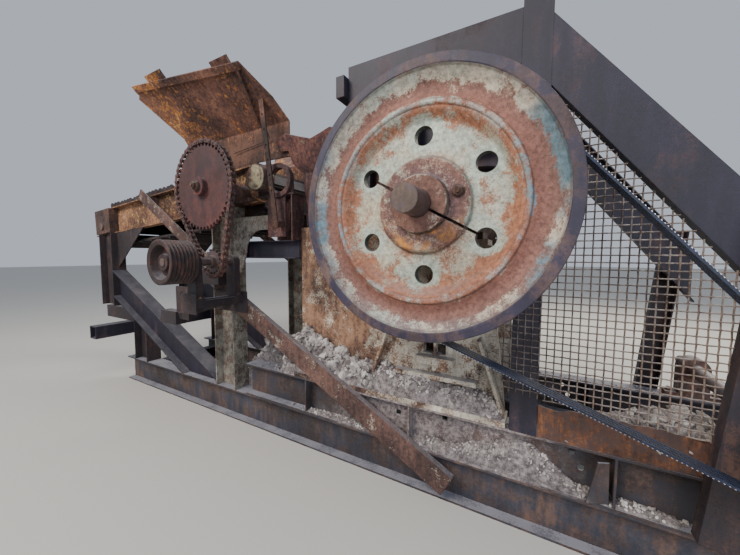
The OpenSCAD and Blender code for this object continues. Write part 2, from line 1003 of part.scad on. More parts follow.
feeder_half = feeder_w / 2;
side_tail = 330;
side_head = 280;
channel_flange = 80;
channel_back = feeder_half - channel_flange + plate_t;
module feeder_sides() {
  bore = head_shaft_d / 2 + 8;
  color(YELLOW)
    both_sides()
      at_feeder()
        difference() {
          translate([0, -channel_back + plate_t, -side_lo])
            along_x(-feeder_len - side_tail, feeder_len + side_tail + side_head)
              mirror([1, 0])
                c_section(side_lo + side_hi, channel_flange, plate_t, plate_t);
          for (x = [0, -feeder_len])
            translate([x, 0, 0])
              rod_y(bore, -channel_back - 1, -channel_back + plate_t + 1);
        }
}

chain_in_r = apron_r - 40;
strand_w = 70;
strand_y = 300;
rail_h = 50;
rail_end = 180;
module feeder_ties() {
  top = chain_in_r - seat_gap;
  inside = channel_back - plate_t;
  color(DARK)
    at_feeder() {
      for (x = [-feeder_len + 500, -feeder_len / 2, -500])
        box(x - 60, x + 60, -inside, inside, top - rail_h - 80, top - rail_h);
      both_sides()
        box(-feeder_len + rail_end, -rail_end, -strand_y - strand_w / 2,
            -strand_y + strand_w / 2, top - rail_h, top);
    }
}

// The outline of a loop of radius r round the head and tail shafts
module stadium(r) {
  circle(r, $fn = 96);
  translate([-feeder_len, 0])
    circle(r, $fn = 96);
  translate([-feeder_len, -r])
    square([feeder_len, 2 * r]);
}

loop_len = 2 * feeder_len + 2 * PI * apron_r;
turn_len = PI * apron_r;

// Place and angle of a point a length s along the apron's loop
function on_loop(s) =
  s < feeder_len ? [-feeder_len + s, apron_r, 0]
  : s < feeder_len + turn_len
    ? let (a = (s - feeder_len) / apron_r * 180 / PI) [apron_r * sin(a), apron_r * cos(a), -a]
  : s < 2 * feeder_len + turn_len ? [feeder_len + turn_len - s, -apron_r, 180]
  : let (a = (s - 2 * feeder_len - turn_len) / apron_r * 180 / PI)
      [-feeder_len - apron_r * sin(a), -apron_r * cos(a), 180 - a];

flight_gap = 6;
flight_t = 20;
grouser_h = 26;
module flight_outline(len) {
  translate([-len / 2, -6])
    square([len, flight_t + 6]);
  translate([len / 2 - 34, 0])
    polygon([[0, 0], [30, 0], [24, flight_t + grouser_h], [8, flight_t + grouser_h]]);
}

module feeder_apron() {
  pitch = loop_len / apron_n;
  flight_half = channel_back - plate_t - 20;
  color(DARK)
    at_feeder() {
      both_sides()
        xz(-strand_y - strand_w / 2, strand_w)
          difference() {
            stadium(apron_r);
            stadium(chain_in_r);
          }
      xz(-flight_half, 2 * flight_half)
        for (i = [0:apron_n - 1]) {
          p = on_loop((i + 0.5) * pitch);
          translate([p[0], p[1]])
            rotate(p[2])
              flight_outline(pitch - flight_gap);
        }
    }
}

drum_gap = 8;
module shaft_drums(r, wide) {
  both_sides()
    rod_y(r, -strand_y - wide / 2, -strand_y + wide / 2);
}

chain_y = near_edge + chain_out;
hub_len = 60;
module head_shaft() {
  color(DARK)
    at_feeder() {
      rod_y(head_shaft_d / 2, -chain_y - hub_len - 20, channel_back + bearing_w + 20);
      shaft_drums(chain_in_r - drum_gap, strand_w);
    }
}

module tail_shaft() {
  color(DARK)
    at_feeder()
      translate([-feeder_len, 0, 0]) {
        rod_y(head_shaft_d / 2, -channel_back - bearing_w - 20, channel_back + bearing_w + 20);
        shaft_drums(chain_in_r - seat_gap, strand_w);
      }
}

bearing_w = 110;
take_up_len = 420;
module feeder_bearings() {
  bore_r = head_shaft_d / 2 + run_gap;
  color(DARK)
    both_sides()
      at_feeder()
        translate([0, -channel_back - bearing_w, 0]) {
          difference() {
            union() {
              rod_y(88, 0, bearing_w);
              box(-170, 170, 0, bearing_w, -side_lo + plate_t, -60);
              box(-88, 88, 0, bearing_w, -side_lo + plate_t, 0);
            }
            rod_y(bore_r, -1, bearing_w + 1);
          }
          translate([-feeder_len, 0, 0])
            difference() {
              box(-take_up_len / 2, take_up_len / 2, 0, bearing_w,
                  -side_lo + plate_t, side_hi - plate_t);
              rod_y(bore_r, -1, bearing_w + 1);
            }
        }
}

// Chain drive from the jackshaft up to the head shaft

roller_r = 14.2;
tooth_gap = 0.5;
tooth_flare = 12;
tooth_h = 13;
big_step = 360 / big_teeth;
small_step = 360 / small_teeth;
big_r = chain_pitch / 2 / sin(big_step / 2);
small_r = chain_pitch / 2 / sin(small_step / 2);
half_links = chain_links / 2;

// The distance between the sprockets that the chain's links just fill
function centres(c, n) = n == 0 ? c :
  let (a = asin((big_r - small_r) / c))
    centres(chain_pitch * (half_links - (90 + a) / big_step - (90 - a) / small_step) / cos(a), n - 1);
chain_c = centres(660, 6);
wrap = asin((big_r - small_r) / chain_c);
jack_deg = 10;
jack_x = -head_x + chain_c * sin(jack_deg);
jack_z = head_z - chain_c * cos(jack_deg);
big_half = (90 + wrap) / big_step;
run_links = chain_c * cos(wrap) / chain_pitch;

// Place of the pin a number of links k from the top, before the drive is turned by
// jack_deg: down the right-hand side from k = 0 to half_links
function right_pin(k) =
  k < big_half ? big_r * [sin(k * big_step), cos(k * big_step)]
  : k < big_half + run_links
    ? let (t = (k - big_half) * chain_pitch)
        big_r * [cos(wrap), -sin(wrap)] + t * [-sin(wrap), -cos(wrap)]
  : let (a = (half_links - k) * small_step)
      [0, -chain_c] + small_r * [sin(a), -cos(a)];

function chain_pin(k) = k <= half_links ? right_pin(k)
  : let (p = right_pin(chain_links - k)) [-p[0], p[1]];

module at_chain() {
  translate([-head_x, -chain_y, head_z])
    rotate([0, -jack_deg, 0])
      children();
}

// The teeth's tips turn just under the chain's rollers, because the chain is one
// fixed loop
module sprocket_outline(teeth, pitch_r) {
  step = 360 / teeth;
  cut = roller_r + tooth_gap;
  r = pitch_r - roller_r - 2 * tooth_gap - tooth_h;
  difference() {
    circle(r + tooth_h, $fn = 180);
    for (i = [0:teeth - 1])
      rotate(i * step)
        translate([0, r]) {
          circle(cut, $fn = 24);
          polygon([[-cut, 0], [cut, 0], [cut + tooth_flare, 30], [-cut - tooth_flare, 30]]);
        }
  }
}

sprocket_hub_r = 80;
module large_sprocket() {
  color(RUST)
    at_chain()
      difference() {
        union() {
          xz(-sprocket_t / 2, sprocket_t)
            sprocket_outline(big_teeth, big_r);
          rod_y(sprocket_hub_r, -hub_len, hub_len);
        }
        rod_y(head_shaft_d / 2 + run_gap, -hub_len - 1, hub_len + 1);
      }
}

plate_half = 19;
link_t = 5;
link_in = sprocket_t / 2 + 0.8;
link_gap = 0.5;
module link_outline() {
  circle(plate_half, $fn = 24);
  translate([chain_pitch, 0])
    circle(plate_half, $fn = 24);
  translate([0, -plate_half * 0.8])
    square([chain_pitch, plate_half * 1.6]);
}

module pins(r) {
  for (k = [0:chain_links - 1])
    translate(chain_pin(k))
      circle(r, $fn = 24);
}

// Every other link, from the link number first
module links(first) {
  for (k = [first:2:chain_links - 1]) {
    p = chain_pin(k);
    run = chain_pin(k + 1) - p;
    translate(p)
      rotate(atan2(run[1], run[0]))
        link_outline();
  }
}

module drive_chain() {
  pin_half = link_in + 2 * link_t + 5;
  color(RUST)
    at_chain() {
      xz(-link_in - 1, 2 * link_in + 2)
        pins(roller_r);
      xz(-pin_half, 2 * pin_half)
        pins(8);
      for (first = [0, 1]) {
        off = link_in + first * (link_t + link_gap);
        for (y = [-off - link_t, off])
          xz(y, link_t)
            links(first);
      }
    }
}

module at_jack() {
  translate([jack_x, 0, jack_z])
    children();
}

drum_front = chain_y + 450;
drum_back = drum_front - drum_w;
jack_end = near_edge + 60;
module jackshaft() {
  color(RUST) {
    at_jack()
      rod_y(jack_d / 2, -drum_front + 25, -jack_end);
    at_chain()
      translate([0, 0, -chain_c]) {
        xz(-sprocket_t / 2, sprocket_t)
          rotate(180)
            sprocket_outline(small_teeth, small_r);
        rod_y(55, -45, 45);
      }
  }
}

drum_grooves = 7;
module drum_sheave() {
  r = drum_d / 2;
  bore = jack_d / 2 + run_gap;
  pitch = (drum_w - 20) / drum_grooves;
  edge = [for (i = [0:drum_grooves - 1])
    each [[r, 10 + pitch * i + 2], [r - 12, 10 + pitch * i + 9],
          [r - 12, 10 + pitch * (i + 1) - 9], [r, 10 + pitch * (i + 1) - 2]]];
  color(DARK)
    translate([jack_x, -drum_front, jack_z])
      turned_y()
        polygon(concat(
          [[r - 10, 0], [r, 4]], edge,
          [[r, drum_w], [r - 34, drum_w], [r - 38, 90], [bore + 36, 86],
           [bore + 30, drum_w - 20], [bore, drum_w - 20], [bore, 30], [bore + 34, 30],
           [bore + 38, 62], [r - 60, 66], [r - 50, 40], [r - 40, 8]]));
}

bracket_z = 1290;
arm_h = 60;
arm_half = 75;
jack_bearing_w = 60;
// A slanting arm from the brace carries an end block and a drilled lug
plank_from = [-2310, -1000, 1113];
plank_to = [-1983, -594, 1265];
plank_w = 90;
plank_h = 60;
lug_x = [-2341, -2153];
lug_top = 1382;
lug_hole = [-2247, 1310];
module slanting_arm(y_end) {
  run = plank_to - plank_from;
  difference() {
    translate(plank_from)
      rotate([0, -asin(run[2] / norm(run)), atan2(run[1], run[0])])
        box(0, norm(run), -plank_w / 2, plank_w / 2, -plank_h / 2, plank_h / 2);
    box(-far_past, far_past, y_end, 0, 0, far_past);
  }
  y = plank_from[1];
  box(-2540, -2300, y - 45, y + 45, 1030, 1150);
  difference() {
    box(lug_x[0], lug_x[1], y - 12, y, 1080, lug_top);
    translate([lug_hole[0], 0, lug_hole[1]])
      rod_y(24, y - 13, y + 1);
  }
}

module jackshaft_bracket() {
  y_in = near_edge + brace_flange;
  y_out = drum_back - 30;
  bearing_ys = [y_out - jack_bearing_w / 2, y_in + 60];
  color(RUST) {
    box(brace_top[0], jack_x + arm_half + 40, -y_in - plate_t, -y_in,
        bracket_z - 160, bracket_z + 40);
    for (x = [jack_x - arm_half, jack_x + arm_half - 50])
      box(x, x + 50, -y_out, -y_in - plate_t, bracket_z - arm_h, bracket_z);
    box(jack_x - arm_half - 60, jack_x + arm_half, -y_out - plate_t, -y_out,
        bracket_z - 110, bracket_z + 60);
    for (y = bearing_ys)
      translate([jack_x, -y, jack_z])
        pillow_block(58, jack_bearing_w, jack_d / 2 + run_gap, jack_z - bracket_z, arm_half, 20);
    slanting_arm(-y_in - 1);
    box(-2414, -2038, -y_in - 118, -y_in - seat_gap, 1387, 1518);
  }
}

// Hopper wings and the chute over the jaws

wing_t = 12;
wing_z = 2830;
wing_deg = 45;
wing_x = [-2810, -1360];
function feeder_top(x) = head_z + (x + head_x) * tan(feeder_deg) + side_hi / cos(feeder_deg);
// The leaning plate's outline, along X and up its slope from the bend; it has a bar
// along its top edge with two lugs, and a ridge where its end is bent
wing_plate = [
  [wing_x[0], -wing_t * 0.3], [wing_x[1], -wing_t * 0.3], [wing_x[1] - 46, 205],
  [wing_x[1] - 195, 509], [wing_x[0] - 114, 659], [wing_x[0] - 148, 604],
  [wing_x[0] - 135, 575], [wing_x[0] - 180, 548], [wing_x[0] + 23, 100],
];
edge_w = 58;
edge_t = 22;
wing_lugs = [[wing_x[0] + 130, 230, 642], [wing_x[1] - 480, 200, 536]];
ridge = [[-1700, 20], [-1592, 480]];
strut_y = 706;
strut_top = [-1532, 2985];
strut_foot = [-1376, 1900];
strut_w = 50;
module wing_strut() {
  run = strut_foot - strut_top;
  translate([strut_top[0], -strut_y, strut_top[1]])
    rotate([0, -atan2(run[1], run[0]), 0])
      difference() {
        box(0, norm(run), 0, wing_t, -strut_w / 2, strut_w / 2);
        for (i = [1:6])
          translate([130 * i, 0, 0])
            rod_y(8, -1, wing_t + 1);
      }
  box(strut_foot[0] - strut_w / 2, strut_foot[0] + strut_w / 2, -strut_y + wing_t - 1,
      -near_edge - seat_gap, strut_foot[1] + 10, strut_foot[1] + 10 + strut_w);
}

module hopper_wings() {
  side_end = -head_x + side_head;
  color(YELLOW)
    both_sides() {
      xz(-feeder_half, wing_t)
        polygon([
          [wing_x[0], feeder_top(wing_x[0])], [side_end, feeder_top(side_end)],
          [wing_x[1], feeder_top(side_end)], [wing_x[1], wing_z], [wing_x[0], wing_z],
        ]);
      wing_strut();
      translate([0, -feeder_half, wing_z])
        rotate([90 + wing_deg, 0, 0]) {
          translate([0, 0, -wing_t])
            linear_extrude(wing_t)
              polygon(wing_plate);
          translate([0, 0, -1])
            linear_extrude(edge_t) {
              polygon([wing_plate[3], wing_plate[4], wing_plate[4] - [0, edge_w],
                       wing_plate[3] - [0, edge_w]]);
              polygon([ridge[0], ridge[0] + [24, 0], ridge[1] + [24, 0], ridge[1]]);
            }
          for (lug = wing_lugs)
            translate([lug[0], lug[2] - 40, -wing_t - 10])
              cube([lug[1], 80, wing_t + 14]);
        }
    }
}

chute_x = [-1240, -420];
chute_z = 2390;
chute_flare = 30;
// The flared plate's outline, along X and up its slope from the chute's side
flare_plate = [
  [-700, 250], [-878, 312], [-985, 285], [-1090, 262], [-1180, 290], [-1328, 340],
  [-1453, 310], [-1440, 212], [-1352, 206], [-1352, 94], [-1270, -3], [-700, -3],
];
bracket_x = -1700;
bracket_low = 1830;
deck_z = 2200;
drum_at = [-1602, 2342];
drum_r = 112;
drum_ys = [720, 612];
ring_at = [-1413, 2312];
ring_r = [145, 105];
ring_ys = [640, 598];
housing_t = 12;
module roller_housing() {
  x1 = -front_reach - seat_gap;
  plate_z = head_tie_z + head_tie_h + seat_gap;
  xz(-near_edge, housing_t)
    polygon([[-1560, bracket_low], [-1345, bracket_low], [-1345, deck_z], [-1560, deck_z]]);
  box(bracket_x, chute_x[0] - 12, -near_edge, -half_jaw, deck_z - housing_t, deck_z);
  for (x = [-1450, x1 - housing_t])
    box(x, x + housing_t, -near_edge + 1, -half_jaw - 10, plate_z, deck_z - 1);
  difference() {
    union() {
      xz(-ring_ys[1] - 1, housing_t)
        polygon([[bracket_x, deck_z - 1], [-1275, deck_z - 1], [-1275, 2270], [-1315, 2400],
                 [-1420, 2465], [-1620, 2480], [bracket_x, 2440]]);
      translate([ring_at[0], 0, ring_at[1]])
        rod_y(ring_r[0], -ring_ys[0], -ring_ys[1]);
    }
    translate([ring_at[0], 0, ring_at[1]])
      rod_y(ring_r[1], -ring_ys[0] - 1, -ring_ys[1] + housing_t + 1);
  }
  translate([drum_at[0], 0, drum_at[1]])
    rod_y(drum_r, -drum_ys[0], -ring_ys[1]);
}

module feed_chute() {
  y = half_jaw + chute_t;
  color(RUST) {
    both_sides() {
      xz(-y, chute_t)
        polygon([
          [chute_x[0], side_top], [-slope_in_x - 20, side_top], [chute_x[1], chute_z],
          [-1270, chute_z],
        ]);
      translate([0, -y, chute_z])
        rotate([90 + chute_flare, 0, 0])
          translate([0, 0, -chute_t])
            linear_extrude(chute_t)
              polygon(flare_plate);
      roller_housing();
    }
    box(chute_x[0], chute_x[0] + chute_t, -half_jaw, half_jaw, side_top, 2150);
  }
}

lower_beams();
upper_sills();
frame_ties();
leg_posts();
mid_posts();
corner_posts();
diagonal_beams();
channel_braces();
cross_box_beam();
crusher_side_near();
crusher_side_far();
front_wall();
toggle_block();
fixed_jaw_liner();
pitman();
swing_jaw_liner();
toggle_plate();
shaft_bearings();
eccentric_shaft();
flywheel_near();
flywheel_far();
drive_belts();
drive_sheave();
drive_shaft();
drive_bearings();
apex_posts();
crown_beams();
crown_posts();
sloping_beams();
rear_posts();
guard_ties();
guard_mesh();
feeder_sides();
feeder_ties();
feeder_apron();
head_shaft();
tail_shaft();
feeder_bearings();
large_sprocket();
drive_chain();
jackshaft();
drum_sheave();
jackshaft_bracket();
hopper_wings();
feed_chute();
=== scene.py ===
import bpy
import bmesh
import math
import numpy as np
from functools import partial
from mathutils import Matrix, Vector


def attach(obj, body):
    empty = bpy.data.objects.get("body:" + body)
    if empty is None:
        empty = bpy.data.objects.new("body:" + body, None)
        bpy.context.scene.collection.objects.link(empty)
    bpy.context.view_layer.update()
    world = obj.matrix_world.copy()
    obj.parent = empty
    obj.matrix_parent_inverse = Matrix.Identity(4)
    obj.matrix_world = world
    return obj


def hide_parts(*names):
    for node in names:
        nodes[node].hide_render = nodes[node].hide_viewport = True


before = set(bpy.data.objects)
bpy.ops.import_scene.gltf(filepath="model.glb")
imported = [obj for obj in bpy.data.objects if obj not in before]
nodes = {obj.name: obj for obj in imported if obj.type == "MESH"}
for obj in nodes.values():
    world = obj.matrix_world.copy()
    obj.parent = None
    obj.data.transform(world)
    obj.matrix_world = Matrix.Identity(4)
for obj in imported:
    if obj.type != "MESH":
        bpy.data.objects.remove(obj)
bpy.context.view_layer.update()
scene = bpy.context.scene
print("frame loaded:", len(nodes), "solids")

cameraSettings = {
    "eye": (0.602, -2.629, 1.666),
    "yawLeft": 29.02,       # degrees to the left of +Y
    "pitchDown": 3.99,
    "roll": 0.243,
    "focalPixels": 310,     # for a picture 740 pixels wide
    "pictureWidth": 740,
    "sensor": 36.0,
    "farEnd": 200,
}


def makeCamera(values):
    # turned about its own axes: left round the vertical, down, then rolled
    yaw, pitch, roll = (math.radians(values[k]) for k in ("yawLeft", "pitchDown", "roll"))
    data = bpy.data.cameras.new("camera")
    data.sensor_width = values["sensor"]
    data.lens = values["focalPixels"] / values["pictureWidth"] * values["sensor"]
    data.clip_end = values["farEnd"]
    scene.camera = bpy.data.objects.new("camera", data)
    scene.camera.matrix_world = Matrix.Translation(values["eye"])
    for turn, axis in ((yaw, "Z"), (math.pi / 2 - pitch, "X"), (roll, "Z")):
        scene.camera.matrix_world @= Matrix.Rotation(turn, 4, axis)
    scene.collection.objects.link(scene.camera)


makeCamera(cameraSettings)
print("camera placed")

mm = 1000       # in a metre: a length is its millimetres over this, a noise's scale the reverse


def hexColour(code):
    # sRGB hex to linear light
    parts = [int(code[i:i + 2], 16) / 255 for i in (1, 3, 5)]
    return [c / 12.92 if c <= 0.04045 else ((c + 0.055) / 1.055) ** 2.4 for c in parts] + [1.0]


def addNode(tree, kind, inputs=(), mode=None, stops=None, **settings):
    # Adds one node. Its inputs are by name, or else in the order of the sockets that are in use;
    # a node or a socket as an input is linked. The mode is a Mix's kind of data, or else an operation
    node = tree.nodes.new("ShaderNode" + kind)
    if mode:
        settings["data_type" if kind == "Mix" else "operation"] = mode
    for name, value in settings.items():
        setattr(node, name, value)
    inUse = [s for s in node.inputs if s.enabled]
    if isinstance(inputs, dict):
        byName = {s.name: s for s in inUse}
        pairs = [(byName[name], value) for name, value in inputs.items()]
    else:
        pairs = zip(inUse, inputs)
    for socket, value in pairs:
        if isinstance(value, bpy.types.Node):
            value = next(s for s in value.outputs if s.enabled)
        if isinstance(value, bpy.types.NodeSocket):
            tree.links.new(value, socket)
        else:
            socket.default_value = value
    if stops:
        ramp = node.color_ramp.elements
        for _ in stops[len(ramp):]:
            ramp.new(0.5)
        for element, (place, colour) in zip(ramp, stops):
            element.position = place
            element.color = hexColour(colour) if isinstance(colour, str) else [colour] * 3 + [1.0]
    return node


def spaced(colours, low, high):
    # a ramp's stops, evenly from low to high
    colours = colours.split()
    return list(zip(np.linspace(low, high, len(colours)), colours))


def newMaterial(name):
    material = bpy.data.materials.new(name)
    material.use_nodes = True
    material.node_tree.nodes.clear()
    return material, partial(addNode, material.node_tree)


# What all the weathered steel shares. Sizes are in millimetres.
weatherDefaults = {
    "cover": 0.45,          # share of the surface that still has its paint
    "patch": 160,           # size of the bare patches
    "cloud": 480,           # size of the clouds of dirt
    "streak": 0.35,         # how far the patches run down as streaks
    "stretch": 0.16,        # a streak's noise is squeezed to this along Z
    "flake": 9,             # size of the small flakes at a patch's edge
    "fleck": 0.26,          # how strongly the flakes break up a patch's edge
    "mottle": 26,           # size of the rust's darker and lighter spots
    "rim": 0.07,            # how far rust creeps under the paint at a patch's edge
    "grain": 3.0,           # rust grain
    "edgeWear": 0.6,
    "edgeRadius": 7,
    "dust": 0.35,           # pale dust on what faces up
    "dustColour": "#8b8b92",
    "soot": 0.3,            # dark dirt in broad clouds
    "paintRough": 0.5,
    "rustRough": 0.85,
    "bumpDepth": 0.9,
    "soft": 0.016,          # how gradually paint gives way to rust
    "seed": 0.0,
    "metal": 0.0,
    "tones": (0.42, 0.58),  # the noise's values at the darkest and the lightest colour
}


def weathered(name, rust, paint=None, vary=None, **changes):
    # Steel or iron with old paint: rust in four browns, paint over it in flaked patches that run
    # down in streaks, worn off along the edges, with dust on the upper faces. The colours of both
    # run from dark to light, and vary gives what goes by the place on a piece
    look = {**weatherDefaults, **changes}
    material, add = newMaterial(name)
    place = add("TexCoord")
    seed, low, high = look["seed"], *look["tones"]
    spot = add("Mapping", {"Vector": place.outputs["Object"], "Location": (seed, seed * 0.7, seed * 1.3)})
    runDown = add("Mapping", {"Vector": spot, "Scale": (1, 1, look["stretch"])})
    patches = add("TexNoise", (spot, mm / look["patch"], 7.0, 0.64))
    streaks = add("TexNoise", (runDown, mm / (look["patch"] / 3.2), 5.0, 0.6))
    flakes = add("TexNoise", (spot, mm / look["flake"], 3.0, 0.7))
    grain = add("TexNoise", (spot, mm / look["grain"], 2.0, 0.75))
    mottle = add("TexNoise", (spot, mm / look["mottle"], 5.0, 0.8))
    broad = add("TexNoise", (spot, mm / look["cloud"], 3.0, 0.55))
    more = vary(add, place.outputs["Object"]) if vary else {}

    # worn edges: where the rounded normal leaves the true one
    rounded = add("Bevel", (look["edgeRadius"] / mm,), samples=3)
    turned = add("VectorMath", (rounded, add("NewGeometry").outputs["Normal"]), "DOT_PRODUCT")
    edge = add("MapRange", (turned.outputs["Value"], 0.995, 0.80))

    worn = add("Mix", (look["streak"], patches, streaks))
    worn = add("Math", (flakes, look["fleck"], worn), "MULTIPLY_ADD")
    worn = add("Math", (edge, 0.14 * look["edgeWear"], worn), "MULTIPLY_ADD")
    if "bare" in more:
        worn = add("Math", (worn, more["bare"]), "ADD")
    level = 0.5 + look["fleck"] * 0.5 + (look["cover"] - 0.5) * 0.34
    bare = add("MapRange", (worn, level - look["soft"], level + look["soft"] * 1.4))

    creeping = hexColour(rust.split()[2])
    if "rust" in more:
        rust = more["rust"]
    else:
        tone = add("Mix", (0.30, add("Mix", (0.58, broad, mottle)), streaks))
        rust = add("ValToRGB", (tone,), stops=spaced(rust, low, high))
    if "paint" in more:
        paint = more["paint"]
    else:
        tone = add("Mix", (0.5, streaks, mottle))
        paint = add("ValToRGB", (tone,), stops=spaced(paint, low, high))
    # a thin rim of rust creeps under the paint at each patch
    rim = add("MapRange", (worn, level - look["rim"], level - look["rim"] * 0.07, 0.0, 0.5))
    stained = add("Mix", (rim, paint, creeping), "RGBA")
    kept = add("Mix", (bare, stained, rust), "RGBA")
    cloud = add("MapRange", (broad, 0.40, 0.64, 1.0 - look["soot"], 1.06))
    for shade in [cloud, more["shade"]] if "shade" in more else [cloud]:
        kept = add("Mix", (1.0, kept, shade), "RGBA", blend_type="MULTIPLY")

    up = add("SeparateXYZ", (place.outputs["Normal"],))
    lying = add("MapRange", (up.outputs["Z"], 0.45, 0.95, 0.0, look["dust"] * 2.2))
    drift = add("MapRange", (add("Mix", (0.5, flakes, patches)), low, high, 0.22, 0.72))
    dusty = add("Math", (lying, drift), "MULTIPLY", use_clamp=True)
    final = add("Mix", (dusty, kept, hexColour(look["dustColour"])), "RGBA")

    rough = add("MapRange", (bare, 0.0, 1.0, look["paintRough"], look["rustRough"]))
    height = add("Math", (bare, -0.35, grain), "MULTIPLY_ADD")
    bump = add("Bump", {"Height": height, "Distance": look["bumpDepth"] / mm, "Strength": 0.8,
                        "Normal": rounded})
    shader = add("BsdfPrincipled", {"Base Color": final, "Roughness": rough, "Normal": bump,
                                    "Metallic": look["metal"]})
    add("OutputMaterial", {"Surface": shader})
    return material


wheelPaint = {
    "centre": (0, 0, 1.95),
    "holeRing": 0.39,
    "holeRadius": 0.053,
    "holeAngle": 31,
    "slitShadeHalf": (0.0070, 0.0090),
    "slitShadeEnd": (0.385, 0.392),
    # radius in metres, then how bare the iron is there, 0.5 being the mean
    "bare": [(0.0, 0.70), (0.150, 0.68), (0.158, 0.38), (0.166, 0.62), (0.250, 0.64), (0.275, 0.34),
             (0.42, 0.38), (0.475, 0.56), (0.510, 0.66), (0.530, 0.46), (0.556, 0.50), (0.572, 0.90),
             (0.630, 0.88), (0.662, 0.42), (0.70, 0.34)],
    "paint": [(0.0, "#b5aea2"), (0.26, "#a8937d"), (0.31, "#b8ae98"), (0.42, "#b5a78f"),
              (0.49, "#a28a74"), (0.535, "#9a9490"), (0.57, "#a88e78"), (0.65, "#c8bca7"),
              (0.70, "#b3ac9e")],
    "rust": [(0.0, "#6a4a40"), (0.15, "#704f44"), (0.17, "#6b5150"), (0.26, "#76544a"),
             (0.30, "#9c6d54"), (0.50, "#a06a4f"), (0.58, "#84594d"), (0.64, "#805c52"),
             (0.70, "#76605c")],
    "mint": "#a3b0a4",
    "turquoise": "#64808d",
    "ochre": "#bf8343",
    "fall": 0.10,           # the lower half is barer by this
    # painted shade in the creases where the face steps: radius, how dark and half the width of each dark ring
    "creaseShade": [(0.161, 0.22, 0.006), (0.272, 0.55, 0.010), (0.556, 0.7, 0.008), (0.703, 0.6, 0.008)],
}


def wheelZones(add, spot):
    # How bare a flywheel's iron is goes by radius: paint clings to the web and the outer half of the
    # hollow, and round the six holes, and has gone from the hub, the boss and the inner half
    values = wheelPaint
    flat = add("VectorMath", (spot, values["centre"]), "SUBTRACT")
    flat = add("VectorMath", (flat, (1, 0, 1)), "MULTIPLY")
    size = add("VectorMath", (flat,), "LENGTH").outputs["Value"]
    parts = add("SeparateXYZ", (flat,))
    across, up = parts.outputs["X"], parts.outputs["Z"]
    waves = add("TexNoise", (spot, mm / 110, 6.0, 0.6))
    blots = add("TexNoise", (spot, mm / 330, 3.0, 0.5))
    share = add("MapRange", (add("Math", (waves, 0.07, size), "MULTIPLY_ADD"), 0.035, 0.835))
    byRadius = {k: add("ValToRGB", (share,), stops=[(r / 0.8, c) for r, c in values[k]])
                for k in ("bare", "paint", "rust")}

    bare = add("MapRange", (byRadius["bare"], 0.0, 1.0, -0.26, 0.26))
    bare = add("Math", (up, -values["fall"], bare), "MULTIPLY_ADD")
    # distance to the nearest hole, by folding the angle into one sixth of the turn
    sixth = math.radians(60)
    angle = add("Math", (up, across), "ARCTAN2")
    angle = add("Math", (angle, sixth / 2 - math.radians(values["holeAngle"])), "ADD")
    angle = add("Math", (angle, sixth), "FLOORED_MODULO")
    angle = add("Math", (angle, sixth / 2), "SUBTRACT")
    toHole = add("CombineXYZ", [add("Math", (add("Math", (angle,), o), size), "MULTIPLY")
                                for o in ("COSINE", "SINE")])
    gap = add("VectorMath", (toHole, (values["holeRing"], 0, 0)), "DISTANCE").outputs["Value"]
    ring = add("Math", (waves, 0.05, gap), "MULTIPLY_ADD")
    bare = add("Math", (bare, add("MapRange", (ring, 0.085, 0.150, -0.12, 0.0))), "ADD")

    cool = add("Math", (add("MapRange", (blots, 0.45, 0.60, 0.0, 0.8)),
                        add("MapRange", (ring, 0.10, 0.165, 0.85, 0.0))), "MAXIMUM")
    paint = add("Mix", (cool, byRadius["paint"], hexColour(values["mint"])), "RGBA")
    # the hollow and the bead are turquoise to the left and right
    aside = add("MapRange", (add("Math", (across,), "ABSOLUTE"), 0.36, 0.56))
    for part in (add("MapRange", (size, 0.50, 0.53)), add("MapRange", (blots, 0.36, 0.50, 0.0, 0.95))):
        aside = add("Math", (aside, part), "MULTIPLY")
    paint = add("Mix", (aside, paint, hexColour(values["turquoise"])), "RGBA")
    # rust water has run down the boss below the hub
    under = add("MapRange", (size, 0.155, 0.175))
    for part in ((size, 0.27, 0.25), (up, -0.07, -0.15), (waves, 0.44, 0.58)):
        under = add("Math", (under, add("MapRange", part)), "MULTIPLY")
    rust = add("Mix", (under, byRadius["rust"], hexColour(values["ochre"])), "RGBA")

    # dirt: fine specks and small chips between the waves; painted shade darkens the slit, the holes and the
    # creases
    speck = add("TexNoise", (spot, mm / 22, 6.0, 0.85))
    spots = add("TexNoise", (spot, mm / 11, 3.0, 0.8))
    spots = add("Math", (add("MapRange", (spots, 0.59, 0.63, 1.0, 0.35)),
                         add("MapRange", (waves, 0.44, 0.52, 1.0, 0.0))), "MAXIMUM")
    # painted shade: the slit's walls and a thin band along both its edges are darkened nearly to black
    line = math.radians(values["holeAngle"] + 120)
    off = add("Math", (across, math.sin(line)), "MULTIPLY")
    off = add("Math", (up, -math.cos(line), off), "MULTIPLY_ADD")
    off = add("MapRange", (add("Math", (off,), "ABSOLUTE"), *values["slitShadeHalf"], 0.05, 1.0))
    off = add("Math", (off, add("MapRange", (size, *values["slitShadeEnd"]))), "MAXIMUM")
    # painted shade: the walls of the six holes and a thin band round their edges are darkened
    wall = values["holeRadius"]
    dark = [off]
    # painted shade: a dark ring in each crease where the wheel's face steps
    for crease, deep, wide in values["creaseShade"]:
        far = add("Math", (add("Math", (size, crease), "SUBTRACT"),), "ABSOLUTE")
        dark.append(add("MapRange", (far, wide * 0.4, wide, deep, 1.0)))
    # dirt tones, multiplied below by the painted shade of the slit, the holes and the creases
    dirtAndShade = add("MapRange", (speck, 0.38, 0.62, 0.50, 1.34))
    for part in dark + [spots, add("MapRange", (gap, wall + 0.0012, wall + 0.0035, 0.16, 1.0))]:
        dirtAndShade = add("Math", (dirtAndShade, part), "MULTIPLY")
    paint, rust = (add("Mix", (1.0, c, dirtAndShade), "RGBA", blend_type="MULTIPLY") for c in (paint, rust))
    return {"bare": bare, "paint": paint, "rust": rust}


